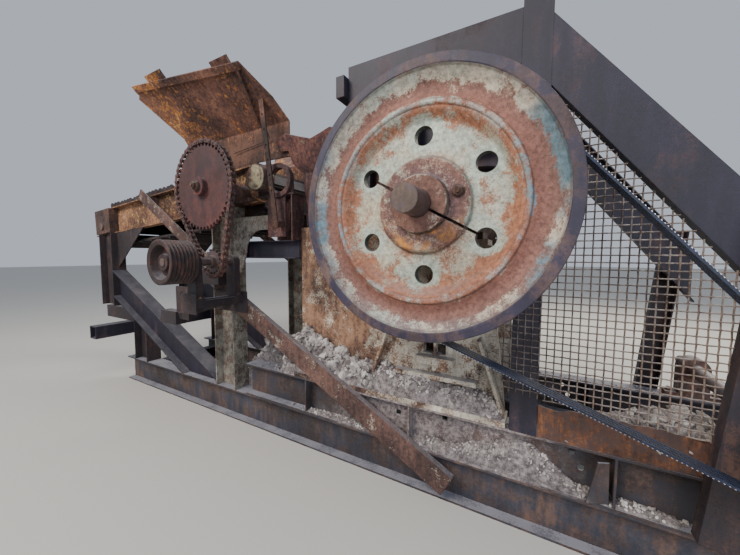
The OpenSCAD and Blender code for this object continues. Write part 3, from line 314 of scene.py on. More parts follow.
def drumZones(add, spot):
    # cream paint has stayed on the caps of the two roller drums only
    flat = add("VectorMath", (spot, (1, 0, 1)), "MULTIPLY")
    away = add("VectorMath", (flat, (-1.602, 0, 2.342)), "DISTANCE")
    return {"bare": add("MapRange", (away.outputs["Value"], 0.100, 0.116, -0.13, 0.03))}


def wingZones(add, spot):
    # orange streaks run down the third of the wing farthest from the crusher, and its foot is dark
    parts = add("SeparateXYZ", (spot,))
    slant = add("Math", (parts.outputs["Z"], 0.55, parts.outputs["X"]), "MULTIPLY_ADD")
    return {"bare": add("MapRange", (slant, -0.95, -0.55, -0.055, 0.030)),
            "shade": add("MapRange", (parts.outputs["Z"], 2.78, 2.86, 0.45, 1.0))}


def sillZones(add, spot):
    # pale dust from the heap clings to the sill between the slanting brace and the screen's post
    parts = add("SeparateXYZ", (spot,))
    waves = add("TexNoise", (spot, mm / 260, 5.0, 0.6))
    along = add("Math", (waves, 0.8, parts.outputs["X"]), "MULTIPLY_ADD")
    share = [add("MapRange", part) for part in ((along, -0.75, -0.25), (along, 0.95, 1.25, 0.9, 0.0))]
    share = add("Math", share, "MULTIPLY")
    tone = add("ValToRGB", (add("TexNoise", (spot, mm / 30, 6.0, 0.8)),),
               stops=[(0.40, "#5d5354"), (0.50, "#857a79"), (0.60, "#a0958f")])
    return {"paint": add("Mix", (share, hexColour("#38373f"), tone), "RGBA"),
            "bare": add("MapRange", (share, 0.0, 1.0, 0.0, -0.10))}


def alongAxis(axis, bounds, add, spot):
    # how bare a piece is goes from one value to another between two places along an axis
    parts = add("SeparateXYZ", (spot,))
    return {"bare": add("MapRange", (parts.outputs[axis], *bounds))}


# Each finish: the CAD nodes it is on, and what it has of its own
beamSteel = dict(cover=0.55, streak=0.25, patch=150, soft=0.06, dust=0.95, soot=0.35, fleck=0.4,
                 rust="#292325 #3b302f #4f3f39 #634d42", dustColour="#84848d")
finishes = {
    # hot-rolled beams, paint long gone: grey mill scale over dull brown rust, dust on the flanges; the
    # scale's dark blue-grey is partly painted shade
    "rolledSteel": dict(beamSteel, on="lower_beams", paint="#2e2f38 #424049", paintRough=0.65),
    # the same beams under the crusher, coated with pale dust
    "dustySteel": dict(beamSteel, on="upper_sills", vary=sillZones, paintRough=0.8),
    # posts: dark brown rust
    "darkRust": dict(
        on="leg_posts corner_posts rear_posts jackshaft_bracket feeder_apron", paint="#231e25 #2e272d",
        rust="#1b1519 #2a2022 #3d2d2b #503b34", cover=0.55, streak=0.5, patch=140, soft=0.04, fleck=0.4,
        dust=0.4, paintRough=0.65),
    # mill scale with a purple cast, hardly rusted: smooth and dark; its darkness and blue tint are partly
    # painted shade under sky light
    "millScale": dict(
        on="frame_ties diagonal_beams cross_box_beam apex_posts crown_beams crown_posts "
           "sloping_beams guard_ties feeder_ties", paint="#181523 #221e30",
        rust="#221b20 #2f252a #3f3034 #513e3e", cover=0.76, streak=0.4, patch=260, soft=0.05, dust=0.25,
        paintRough=0.62),
    # brown rusted channel with flecks of cream paint, more of it on the upper half
    "fleckedBrown": dict(
        on="channel_braces", vary=partial(alongAxis, "Z", (0.55, 1.05, 0.045, -0.005)),
        paint="#8f8577 #aea596", rust="#352725 #4c3632 #5d443c #6e5146", cover=0.24, streak=0.2, patch=90,
        flake=14, fleck=0.5, dust=0.4),
    # pale enamel over cast steel, chipped through to rust: nearly gone on the feeder's side
    "greenEnamel": dict(
        on="crusher_side_near crusher_side_far", vary=partial(alongAxis, "X", (-0.62, -0.40, 0.065, -0.07)),
        paint="#a1988a #beb5a5 #cac5b7", rust="#36292a #5a4238 #7d5d49 #917059", cover=0.46, patch=130,
        streak=0.15, flake=12, soft=0.035, fleck=0.5, dust=0.6, soot=0.4),
    # grey-green enamel gone chalky on posts
    "chalkyEnamel": dict(
        on="mid_posts", paint="#716f64 #98958a", rust="#2e2826 #4a3d37 #66534a #7b6455", cover=0.56,
        patch=75, soft=0.04, fleck=0.5, dust=0.3),
    # yellow enamel, mostly gone: streaks of ochre on dark rust
    "yellowEnamel": dict(
        on="hopper_wings", vary=wingZones, paint="#8a4d1c #b8752e #d8b070",
        rust="#33231e #523730 #6e493c #835b47", cover=0.30, patch=110, streak=0.55, soft=0.018, flake=32,
        fleck=0.45, rim=0.02, dust=0.25, soot=0.45),
    # orange-yellow streaks along a channel
    "ochreEnamel": dict(
        on="feeder_sides", paint="#8a6338 #a98650 #b39a6e", rust="#35241f #5a3d30 #7a5640 #8f6a50",
        cover=0.30, patch=80, streak=0.2, soft=0.02, fleck=0.5, flake=24, rim=0.03),
    # rusted cast iron: coarse skin
    "castIron": dict(
        on="front_wall toggle_block pitman toggle_plate shaft_bearings drive_sheave "
           "drive_bearings feeder_bearings", paint="#443835 #554641",
        rust="#2b1f1d #44312b #604438 #745345", cover=0.40, patch=90, grain=4.5, bumpDepth=1.6, soft=0.05,
        dust=0.45),
    # sprocket plate: even purple-brown rust
    "redRust": dict(
        on="large_sprocket", paint="#311c1f #3b2224", rust="#2e1b1b #3f2525 #502c2a #603630", cover=0.5,
        patch=220, streak=0.3, soot=0.25, soft=0.06, dust=0.2, fleck=0.45),
    # chain links: dark red-brown, oily
    "oiledRust": dict(
        on="drive_chain", paint="#2b2022 #3a2a2a", rust="#281b1b #3e2829 #543732 #684539", patch=40,
        grain=2.0, rustRough=0.7),
    # drum sheave: dark purple iron, ribbed
    "darkIron": dict(
        on="drum_sheave", paint="#1f171b #292024", rust="#241a1b #342324 #452f2a #563b31", cover=0.55,
        patch=60, metal=0.1, fleck=0.4, paintRough=0.6),
    # manganese steel jaws: grey-brown and scoured
    "manganeseSteel": dict(
        on="fixed_jaw_liner swing_jaw_liner", paint="#554d49 #6a625c",
        rust="#3a2a26 #57392e #76493a #8a5b44", patch=60, metal=0.25, rustRough=0.6),
    # turned shaft: smooth thin rust, olive and purple
    "turnedSteel": dict(
        on="eccentric_shaft drive_shaft head_shaft tail_shaft jackshaft", paint="#4a3d42 #5c4d4f",
        rust="#3b2d2b #4e3e38 #5f4c3d #6c5c45", cover=0.60, patch=70, metal=0.1, bumpDepth=0.3, soft=0.06,
        rustRough=0.55),
    # plates of the chute and the roller housings: brown rust, cream paint left on the drums
    "chuteRust": dict(
        on="feed_chute", vary=drumZones, paint="#8a8168 #a79d80", rust="#2a1e21 #41292b #583a37 #764c40",
        cover=0.22, patch=80, flake=12, soft=0.04, dust=0.3, soot=0.4),
    # plate rusted bright orange-brown
    "orangeRust": dict(
        paint="#463330 #573d34", rust="#33231e #4d3328 #6d442c #8b5b36", cover=0.58, patch=70, streak=0.15,
        soft=0.05, fleck=0.5, dust=0.3, soot=0.5),
    # flywheel iron under its enamel, stained through by rust
    "wheelEnamel": dict(
        on="flywheel_near flywheel_far", vary=wheelZones, rust="#3c2826 #6b4a3c #8f6753 #9a7460", cover=0.5,
        patch=95, streak=0.12, flake=10, dust=0.3, soot=0.18, bumpDepth=1.3, edgeWear=0.8, paintRough=0.6,
        soft=0.040, fleck=0.5),
    # the rim's turned faces: thin purple-brown scale, its blue cast a painted sky reflection
    "rimScale": dict(
        paint="#252133 #312b40", rust="#332829 #433335 #54413f #654f48", cover=0.66, patch=170, streak=0.15,
        soft=0.06, dust=0.15, soot=0.2, paintRough=0.6, rustRough=0.75),
    # wire of the screen: rust-brown, rubbed grey where it crosses
    "rustedWire": dict(
        on="guard_mesh", paint="#7d7169 #978b82", rust="#3a2c28 #56443c #726054 #877265", cover=0.50,
        patch=60, grain=2.0, edgeWear=0.0),
    # bolt heads: darker, thick rust
    "boltSteel": dict(
        paint="#4a4042 #5c5050", rust="#33241f #503629 #6d4a38 #805a42", cover=0.35, patch=30, grain=2.0,
        edgeRadius=2),
    # belt studs: bare steel, their near-white colour a painted glint
    "studSteel": dict(
        paint="#c4c8ce #e4e6ea", rust="#5a5458 #726a6e #8a8084 #9a9090", cover=0.85, patch=25, metal=0.3,
        edgeWear=0.2, edgeRadius=1, paintRough=0.35),
}
materials = {}
for i, (name, look) in enumerate(finishes.items()):
    on = look.pop("on", "").split()
    materials[name] = weathered(name, seed=i * 3.7, **look)
    for member in on:
        nodes[member].data.materials.clear()
        nodes[member].data.materials.append(materials[name])


def grainy(name, colours, size, spread=0.09, roughness=0.95, bumpDepth=1.0, cells=False, speck=4):
    # a dull broken or packed surface: tones from noise, or one tone a stone, with fine grain on top
    material, add = newMaterial(name)
    spot = add("TexCoord").outputs["Object"]
    broad = add("TexNoise", (spot, mm / (size * 4), 4.0, 0.6))
    fine = add("TexNoise", (spot, mm / speck, 4.0, 0.7))
    if cells:
        stones = add("SeparateColor", (add("TexVoronoi", (spot, mm / size)).outputs["Color"],))
        tone = add("MapRange", (stones.outputs[0], 0.0, 1.0, 0.5 - spread * 1.6, 0.5 + spread * 1.6))
    else:
        tone = add("TexNoise", (spot, mm / size, 6.0, 0.65))
    tone = add("Mix", (0.25, add("Mix", (0.35, tone, broad)), fine))
    colour = add("ValToRGB", (tone,), stops=spaced(colours, 0.5 - spread, 0.5 + spread))
    bump = add("Bump", {"Height": fine, "Distance": bumpDepth / mm})
    shader = add("BsdfPrincipled", {"Base Color": colour, "Roughness": roughness, "Normal": bump})
    add("OutputMaterial", {"Surface": shader})
    return material


# broken limestone: one tone a stone, from brown-grey to nearly white
materials["brokenStone"] = grainy("brokenStone", "#544d4c #7e7775 #a09a96 #c9c5c0", 45, cells=True)
# packed dirt with grit: grey-brown
materials["packedDirt"] = grainy("packedDirt", "#403a3a #5f5858 #807877 #9f9894", 30, 0.12,
                                 bumpDepth=2.5, speck=7)
# woven belting: dark blue-grey
materials["beltFabric"] = grainy("beltFabric", "#0d111e #151c31 #242f4a", 12, 0.1, 0.6, 0.3, speck=2)

print("materials made:", len(materials))


def smooth(mesh, angle):
    mesh.polygons.foreach_set("use_smooth", [True] * len(mesh.polygons))
    mesh.set_sharp_from_angle(angle=math.radians(angle))


def newObject(name, points, faces):
    mesh = bpy.data.meshes.new(name)
    mesh.from_pydata(np.asarray(points).tolist(), [], [list(map(int, f)) for f in faces])
    thing = bpy.data.objects.new(name, mesh)
    scene.collection.objects.link(thing)
    return thing


def makePiece(name, points, faces, finish, body="plant", replaced=(), smoothAngle=None):
    # a mesh object at the origin from points and faces, given its finish and the body it rides on
    piece = newObject(name, points, faces)
    piece.data.validate()
    for each in finish if isinstance(finish, list) else [finish]:
        piece.data.materials.append(materials[each])
    if smoothAngle:
        smooth(piece.data, smoothAngle)
    if replaced:
        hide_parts(*replaced)
    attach(piece, body)
    return piece


def xyz(x, y, z):
    # points from arrays or numbers, one for each direction
    return np.stack(np.broadcast_arrays(x, y, z), axis=-1)


def joined(parts):
    # several (points, faces) parts as one
    points, faces, start = [], [], 0
    for some, corners in parts:
        points.append(some)
        faces += [[start + c for c in face] for face in corners]
        start += len(some)
    return np.vstack(points), faces


def unit(vectors):
    return vectors / np.linalg.norm(vectors, axis=-1, keepdims=True)


def turned(points, *directions):
    # each copy of the points in its own three directions
    return sum(points[..., i:i + 1] * way[:, None] for i, way in enumerate(directions))


def gridFaces(rows, columns, closeRows=False, closeColumns=False):
    # quads between neighbouring rows and columns of a grid of points
    i = np.arange(rows if closeRows else rows - 1)[:, None]
    j = np.arange(columns if closeColumns else columns - 1)[None, :]
    nextRow, nextColumn = (i + 1) % rows, (j + 1) % columns
    quads = np.stack([i * columns + j, i * columns + nextColumn, nextRow * columns + nextColumn,
                      nextRow * columns + j], axis=-1)
    return quads.reshape(-1, 4)


def shellFaces(rows, columns):
    # quads between closed rings of points, with a flat cap at both ends
    ring = list(range(columns))
    return [*gridFaces(rows, columns, closeColumns=True).tolist(), ring[::-1],
            [c + (rows - 1) * columns for c in ring]]


def outwards(mesh):
    # turns every face of a closed shell outwards
    shell = bmesh.new()
    shell.from_mesh(mesh)
    bmesh.ops.recalc_face_normals(shell, faces=shell.faces)
    shell.to_mesh(mesh)
    shell.free()


def tube(path, radius, sides=6):
    # circles of one radius carried along a path, each square to it, with a flat cap at both ends
    path = np.asarray(path, float)
    ahead = unit(np.gradient(path, axis=0))
    guide = np.array([0, 1.0, 0]) if abs(ahead[0, 1]) < 0.8 else np.array([1.0, 0, 0])
    first = unit(np.cross(ahead, guide))
    second = np.cross(ahead, first)
    turn = np.arange(sides) / sides * 2 * math.pi
    ring = np.cos(turn)[None, :, None] * first[:, None] + np.sin(turn)[None, :, None] * second[:, None]
    return (path[:, None] + radius * ring).reshape(-1, 3), shellFaces(len(path), sides)


flywheel = {
    "height": 1.95, "outer": 0.760, "width": 0.260, "front": 1.020, "ringInner": 0.707,
    "bead": 0.540, "beadSet": 0.046, "beadHalf": 0.016, "beadHigh": 0.015,
    "webRadius": 0.455, "webSet": 0.105, "webThick": 0.045,
    "boss": 0.262, "bossSet": 0.062, "hub": 0.160, "bore": 0.0731,
    "holes": 6, "holeRadius": 0.053, "holeRing": 0.390, "firstHole": 31, "slit": 0.011,
    "cutFrom": 0.7, "cutDepth": 0.4, "behindRim": 0.90, "backFrom": 0.6, "overlap": 0.003,
    "smooth": 32, "between": 0.02, "corner": 0.18, "uneven": 0.0009,
    "groovePitch": 0.025, "firstGroove": 0.0825, "grooves": 6, "grooveWide": 0.020,
    "grooveFloor": 0.689, "land": 0.700, "steps": 240,
}


def wheelProfile(w, grooved):
    # (radius, depth behind the rim's face), once round the section, starting at the rim's outer edge
    rim = [(w["outer"], 0.0)]
    if grooved:
        rim += [(w["outer"], 0.058), (w["land"], 0.066)]
        for i in range(w["grooves"]):
            h = w["firstGroove"] + i * w["groovePitch"]
            rim += [(w["land"], h - w["grooveWide"] / 2), (w["grooveFloor"], h - w["grooveWide"] * 0.425),
                    (w["grooveFloor"], h + w["grooveWide"] * 0.425), (w["land"], h + w["grooveWide"] / 2)]
        rim += [(w["land"], w["width"])]
    else:
        rim += [(w["outer"], w["width"])]
    back = w["webSet"] + w["webThick"]
    inside = [(0.635, w["width"]), (0.623, back + 0.012), (0.595, back), (w["hub"] + 0.04, back),
              (w["hub"], back + 0.03), (w["hub"], w["width"]), (w["bore"], w["width"]), (w["bore"], 0.0)]
    hub = [(w["hub"] - 0.008, 0.0), (w["hub"], 0.008), (w["hub"] + 0.006, w["bossSet"] - 0.01),
           (w["hub"] + 0.016, w["bossSet"]), (w["boss"] - 0.012, w["bossSet"]),
           (w["boss"], w["bossSet"] + 0.01), (w["boss"] + 0.012, w["webSet"] - 0.006)]
    # the web rises to the bead in a smooth double curve
    t = np.linspace(0, 1, 14)
    low, high, crest = w["webRadius"], w["bead"] - 0.018, w["beadSet"]
    smoothStep = 3 * t ** 2 - 2 * t ** 3
    rise = np.stack([low + (high - low) * t, w["webSet"] + (crest - w["webSet"]) * smoothStep], axis=1)
    turn = np.linspace(math.pi, 0, 10)
    bead = np.stack([w["bead"] + w["beadHalf"] * np.cos(turn), crest - w["beadHigh"] * np.sin(turn)], axis=1)
    # beyond the bead the face is hollow up to the rim's ring
    t = np.linspace(0, 1, 22)
    low, high = w["bead"] + 0.018, w["ringInner"] - 0.006
    hollow = np.stack([low + (high - low) * t, crest - 0.034 * t + 0.040 * np.sin(math.pi * t)], axis=1)
    return np.vstack([rim + inside + hub, rise, bead, hollow, [(w["ringInner"], 0.0)]])


def densified(outline, step):
    # extra points along the long edges of a closed outline, about a step apart
    ahead = np.roll(outline, -1, axis=0)
    counts = np.maximum(1, np.ceil(np.linalg.norm(ahead - outline, axis=1) / step).astype(int))
    return np.vstack([a + (b - a) * (np.arange(n) / n)[:, None] for a, b, n in zip(outline, ahead, counts)])


def cutCorners(outline, share):
    # one pass of corner cutting: each corner becomes two points a share of the way along its edges
    ahead = np.roll(outline, -1, axis=0)
    return np.stack([outline * (1 - share) + ahead * share, outline * share + ahead * (1 - share)],
                    axis=1).reshape(-1, 2)


def cutWith(piece, outlines, start, depth):
    # takes prisms off a piece; each is (outline, along, up, centre) and runs from start by depth along Y
    parts = []
    for outline, along, up, centre in outlines:
        flat = np.asarray(outline) @ np.array([along, up], float) + np.array(centre, float)
        ends = np.vstack([flat + (0, y, 0) for y in (start, start + depth)])
        parts.append((ends, shellFaces(2, len(flat))))
    cutter = newObject("cutter", *joined(parts))
    outwards(cutter.data)
    cut = piece.modifiers.new("holes", "BOOLEAN")
    cut.object, cut.operation, cut.solver = cutter, "DIFFERENCE", "MANIFOLD"
    graph = bpy.context.evaluated_depsgraph_get()
    piece.data = bpy.data.meshes.new_from_object(piece.evaluated_get(graph))
    piece.modifiers.clear()
    bpy.data.objects.remove(cutter)


def makeFlywheel(name, values, grooved, side, node):
    # the section carried round the shaft, then drilled and slit; side is -1 near, 1 far
    section = cutCorners(densified(wheelProfile(values, grooved), values["between"]), values["corner"])
    steps = values["steps"]
    turn = np.arange(steps) / steps * 2 * math.pi
    radius, depth = section[:, 0][None], section[:, 1][None]
    # cast faces are a little uneven
    uneven = values["uneven"] * np.sin(5 * turn + side)[:, None] * (radius < values["ringInner"])
    height, ring = values["height"], values["holeRing"]
    points = xyz(radius * np.cos(turn)[:, None], side * (values["front"] - depth - abs(uneven)),
                 height + radius * np.sin(turn)[:, None]).reshape(-1, 3)
    faces = gridFaces(steps, len(section), closeRows=True, closeColumns=True)
    piece = makePiece(name, points, faces, ["wheelEnamel", "rimScale"], "crusher_rotor", [node])
    outwards(piece.data)
    circle = np.linspace(0, 2 * math.pi, 48, endpoint=False)
    circle = np.stack([np.cos(circle), np.sin(circle)], axis=1) * values["holeRadius"]
    angles = [math.radians(values["firstHole"] + 60 * i) for i in range(values["holes"])]
    holes = [(circle, (1, 0, 0), (0, 0, 1), (ring * math.cos(a), 0, height + ring * math.sin(a)))
             for a in angles]
    half, c, s = values["slit"] / 2, math.cos(angles[2]), math.sin(angles[2])
    line = [(-ring, -half), (ring, -half), (ring, half), (-ring, half)]
    slit = line, (c, 0, s), (-s, 0, c), (0, 0, height)
    for cuts in (holes, [slit]):
        cutWith(piece, cuts, side * values["cutFrom"], side * values["cutDepth"])
    mesh = piece.data
    centres = np.empty(len(mesh.polygons) * 3)
    mesh.polygons.foreach_get("center", centres)
    centres = centres.reshape(-1, 3)
    reach = np.hypot(centres[:, 0], centres[:, 2] - height)
    isBack = (reach > values["backFrom"]) & (abs(centres[:, 1]) < values["behindRim"])
    isRim = isBack | (reach > values["ringInner"] - values["overlap"])
    mesh.polygons.foreach_set("material_index", isRim.astype(int))
    smooth(mesh, values["smooth"])


makeFlywheel("flywheelNear", flywheel, True, -1, "flywheel_near")
makeFlywheel("flywheelFar", flywheel, False, 1, "flywheel_far")
print("flywheels made")

screen = {
    "pitch": 0.038, "wire": 0.0038, "sides": 5, "crimp": 0.0028, "y": -0.6255,
    "left": 0.405, "right": 1.400, "lowLeft": 0.852, "lowRight": 0.790,
    "top": 2.576, "topFrom": 0.610, "fall": 1.2799,
}


def makeScreen(values):
    # woven wires: each wire is a wave of one crimp per crossing, and neighbours are out of step
    left, right, pitch = values["left"], values["right"], values["pitch"]

    def low(x):
        return values["lowLeft"] + (values["lowRight"] - values["lowLeft"]) * (x - left) / (right - left)

    def high(x):
        return values["top"] - values["fall"] * np.maximum(0, x - values["topFrom"])

    wires = []
    for k, x in enumerate(np.arange(left + 0.01, right, pitch)):
        z = np.arange(low(x), high(x), pitch / 2)
        wires.append((x, values["crimp"] * np.cos(math.pi * (z / pitch + k)), z))
    xs = np.arange(left, right, pitch / 2)
    for k, z in enumerate(np.arange(values["lowRight"] + 0.01, values["top"], pitch)):
        x = xs[(low(xs) <= z) & (z <= high(xs))]
        if len(x) > 2:
            wires.append((x, -values["crimp"] * np.cos(math.pi * (x / pitch + k)), z))
    points, faces = joined([tube(xyz(x, values["y"] + wave, z), values["wire"], values["sides"])
                            for x, wave, z in wires])
    makePiece("guardScreen", points, faces, "rustedWire", "plant", ["guard_mesh"], 60)


makeScreen(screen)
print("guard screen woven")

drive = {
    "wheel": (0, 1.95, 0.698), "sheave": (1.62, 0.834, 0.183),
    "belts": (-0.8875, -0.8625, -0.8375, -0.8125),
    "pitch": 0.017, "length": 0.0225, "halfWidth": 0.0078, "stud": 0.0056,
}


def beltLoop(values):
    # even steps along two arcs and their outer tangents: place, direction along, direction outwards
    (x1, z1, r1), (x2, z2, r2) = values["wheel"], values["sheave"]
    apart = math.hypot(x2 - x1, z2 - z1)
    lean = math.atan2(z2 - z1, x2 - x1)
    spread = math.acos((r1 - r2) / apart)
    straight = math.sqrt(apart ** 2 - (r1 - r2) ** 2)
    arc1, arc2 = r1 * (2 * math.pi - 2 * spread), r2 * 2 * spread
    whole = arc1 + arc2 + 2 * straight
    count = round(whole / values["pitch"])
    s = np.arange(count) / count * whole
    ends = np.cumsum([arc1, straight, arc2, straight])
    which = np.searchsorted(ends, s, side="right")
    angle = np.choose(which, [lean + spread + s / r1, lean - spread, lean - spread + (s - ends[1]) / r2,
                              lean + spread])
    out = xyz(np.cos(angle), 0, np.sin(angle))
    along = xyz(-np.sin(angle), 0, np.cos(angle))
    onWheel = (which < 2)[:, None]
    past = np.choose(which, [0, s - ends[0], 0, s - ends[2]])[:, None]
    places = np.where(onWheel, (x1, 0, z1), (x2, 0, z2)) + np.where(onWheel, r1, r2) * out + past * along
    return places, along, out


def placed(template, faces, places, first, second, third):
    # copies of one small shape, each in its own three directions
    points = (places[:, None] + turned(template[None], first, second, third)).reshape(-1, 3)
    count = len(template)
    return points, [[k * count + c for c in face] for k in range(len(places)) for face in faces]


def disc(radius, low, high, sides, taper=1.0):
    # a short prism on a ring of points, its top a little smaller
    turn = np.arange(sides) / sides * 2 * math.pi
    points = [xyz(r * np.cos(turn), r * np.sin(turn), z) for r, z in ((radius, low), (radius * taper, high))]
    return np.vstack(points), shellFaces(2, sides)


def makeBelts(values):
    # link belts: overlapping tabs like scales, each held by a stud
    h, w = values["length"] / 2, values["halfWidth"]
    tab = np.array([(-h, -w, -0.0065), (h, -w, -0.0045), (h, w, -0.0045), (-h, w, -0.0065),
                    (-h, -w * 0.8, 0.0030), (h, -w * 0.8, 0.0068), (h, w * 0.8, 0.0068),
                    (-h, w * 0.8, 0.0030)])
    tabFaces = [(3, 2, 1, 0), (4, 5, 6, 7), (0, 1, 5, 4), (1, 2, 6, 5), (2, 3, 7, 6), (3, 0, 4, 7)]
    stud, studFaces = disc(values["stud"], 0.003, 0.0084, 6, 0.75)
    template, faces = joined([(tab, tabFaces), (stud, studFaces)])
    places, along, out = beltLoop(values)
    side = np.broadcast_to((0.0, -1.0, 0.0), out.shape)
    points, every = joined([placed(template, faces, places + (0, y, 0), along, side, out)
                            for y in values["belts"]])
    belts = makePiece("linkBelts", points, every, ["beltFabric", "studSteel"], "plant", ["drive_belts"])
    kinds = np.tile(np.array([0] * len(tabFaces) + [1] * len(studFaces)), len(points) // len(template))
    belts.data.polygons.foreach_set("material_index", kinds)


makeBelts(drive)
print("link belts laid")

# thread size and places, then the body they ride on and the direction they face, if not up on the plant
bolts = {
    "driveBearingBolts": (0.024, [(x, y, 0.645) for x in (1.49, 1.75) for y in (-0.54, 0.54)]),
    "shaftBearingBolts": (0.036, [(x, y, 1.815) for x in (-0.235, 0.235) for y in (-0.59, 0.59)]),
    "footBolts": (0.024, [(x, y, 0.650) for x in (-1.2, -0.96, -0.72, -0.28, -0.04, 0.18, 0.36)
                          for y in (-0.585, 0.585)]),
    "jackBolts": (0.014, [(-1.9054 + dx, y, 1.310) for dx in (-0.066, 0.066) for y in (-1.095, -0.733)]),
    "wheelPlug": (0.034, [(0.2038, -0.958, 2.0084)], "crusher_rotor", (0, -1, 0)),
    "sprocketNut": (0.036, [(-2.02, -1.0, 2.26)], "feeder_head", (0, -1, 0)),
}


def makeBolts(name, size, spots, body="plant", facing=(0, 0, 1)):
    # hexagon heads on washers, each turned a little differently
    layers = [(1.05, 0.0, 0.14, 16, 1.0), (0.86, 0.14, 0.66, 6, 1.0), (0.86, 0.66, 0.78, 6, 0.86),
              (0.44, 0.78, 1.05, 10, 0.9)]
    template, faces = joined([disc(size * wide, size * low, size * high, sides, taper)
                              for wide, low, high, sides, taper in layers])
    spots = np.asarray(spots, float)
    facing = np.broadcast_to(np.asarray(facing, float), spots.shape)
    guide = np.where(abs(facing[:, 2:]) > 0.9, (1.0, 0, 0), (0, 0, 1.0))
    first = unit(np.cross(guide, facing))
    second = np.cross(facing, first)
    turn = np.random.default_rng(len(spots)).uniform(0, math.pi / 3, len(spots))[:, None]
    first, second = first * np.cos(turn) + second * np.sin(turn), second * np.cos(turn) - first * np.sin(turn)
    makePiece(name, *placed(template, faces, spots, first, second, facing), "boltSteel", body)


for name, about in bolts.items():
    makeBolts(name, *about)
print("bolts set")

rubble = {
    "seed": 7,
    # the heap under the jaws: x, then the height of its crest
    "crest": [(-2.35, 0.02), (-2.20, 0.34), (-2.02, 0.66), (-1.86, 0.80), (-1.60, 0.81), (-1.35, 0.77),
              (-1.18, 0.58), (-1.02, 0.28), (-0.90, 0.02)],
    "crestY": -0.22, "nearFall": 0.50, "farFall": 0.62, "halfWide": 0.452, "stones": 900,
    # place and radius
    "boulders": [(-1.24, -0.575, 0.90, 0.050), (-1.05, -0.585, 0.80, 0.062), (-1.12, -0.60, 0.71, 0.048),
                 (-0.93, -0.59, 0.74, 0.070), (-0.83, -0.575, 0.83, 0.052), (-0.76, -0.595, 0.71, 0.060),
                 (-0.66, -0.59, 0.78, 0.055), (-0.60, -0.60, 0.69, 0.050), (-0.98, -0.55, 0.92, 0.045),
                 (-1.30, -0.56, 0.75, 0.058), (-1.55, -0.38, 0.76, 0.070), (-1.72, -0.36, 0.78, 0.060),
                 (-1.86, -0.33, 0.77, 0.075), (-1.66, -0.25, 0.82, 0.055), (-1.45, -0.30, 0.80, 0.060),
                 (-0.52, -0.58, 0.70, 0.045), (-0.33, -0.56, 0.675, 0.040), (0.05, -0.585, 0.67, 0.035)],
    # gravel on ledges: from and to in x and in y, the ledge's height, how many, how big at most
    "ledges": [(-1.35, 2.25, -0.617, -0.555, 0.3205, 260, 0.016),
               (-1.85, 2.25, -0.615, -0.47, 0.611, 260, 0.016),
               (-0.40, 0.42, -0.616, -0.52, 0.651, 90, 0.018), (-1.3, 2.2, 0.47, 0.615, 0.611, 150, 0.016)],
}

# Banks of dirt lean on a plate and stand on a ledge: x and the height at the plate, the plate's y,
# the width, the ledge's height, how many stones lie in it and how big they are at most
banks = {
    "sideBank": ([(-1.27, 1.005), (-1.153, 1.000), (-1.02, 0.945), (-0.889, 0.885), (-0.714, 0.845),
                  (-0.566, 0.842), (-0.50, 0.78), (-0.47, 0.66)], -0.506, 0.118, 0.651, 480, 0.034),
    "cornerBank": ([(-1.42, 0.84), (-1.36, 0.93), (-1.27, 0.98)], -0.47, 0.150, 0.611, 120, 0.034),
    "footBank": ([(-0.53, 0.80), (-0.44, 0.86), (-0.30, 0.80), (-0.12, 0.83), (0.05, 0.78), (0.22, 0.80),
                  (0.36, 0.74), (0.415, 0.66)], -0.506, 0.112, 0.651, 300, 0.016),
    "webBank": ([(-1.15, 0.325), (-0.55, 0.342), (-0.15, 0.355), (0.10, 0.39), (0.34, 0.46), (0.50, 0.53),
                 (0.62, 0.50), (0.80, 0.36), (1.25, 0.335)], -0.546, 0.073, 0.3205, 460, 0.009),
    "screenBank": ([(0.68, 0.62), (0.82, 0.68), (0.98, 0.78), (1.12, 0.85), (1.26, 0.88), (1.40, 0.82)],
                   -0.470, 0.136, 0.6105, 420, 0.030),
}


def waves2d(x, y, seed, size, count=14):
    # sum of plane waves in random directions, for an uneven ground
    dice = np.random.default_rng(seed)
    total = np.zeros(np.broadcast(x, y).shape)
    for _ in range(count):
        direction, phase = dice.uniform(0, 2 * math.pi, 2)
        k = 2 * math.pi / (size * dice.uniform(0.6, 2.2))
        total += np.sin(k * (x * math.cos(direction) + y * math.sin(direction)) + phase)
    return total / math.sqrt(count)


def moundShell(top, base):
    # two grids of points, one above the other, closed round their rim
    rows, columns = top.shape[:2]
    points = np.vstack([top.reshape(-1, 3), base.reshape(-1, 3)])
    upper = gridFaces(rows, columns)
    lower = upper[:, ::-1] + rows * columns
    grid = np.arange(rows * columns).reshape(rows, columns)
    rim = np.concatenate([grid[0, :-1], grid[:-1, -1], grid[-1, :0:-1], grid[:0:-1, 0]])
    after = np.roll(rim, -1)
    walls = np.stack([after, rim, rim + rows * columns, after + rows * columns], axis=1)
    return points, np.vstack([upper, lower, walls])[:, ::-1]


def stoneBase(cuts):
    # an icosahedron, its edges cut for the larger stones
    shell = bmesh.new()
    bmesh.ops.create_icosphere(shell, subdivisions=1, radius=1.0)
    if cuts:
        bmesh.ops.subdivide_edges(shell, edges=shell.edges, cuts=cuts, use_grid_fill=True)
    base = np.array([v.co for v in shell.verts]), [[v.index for v in f.verts] for f in shell.faces]
    shell.free()
    return base


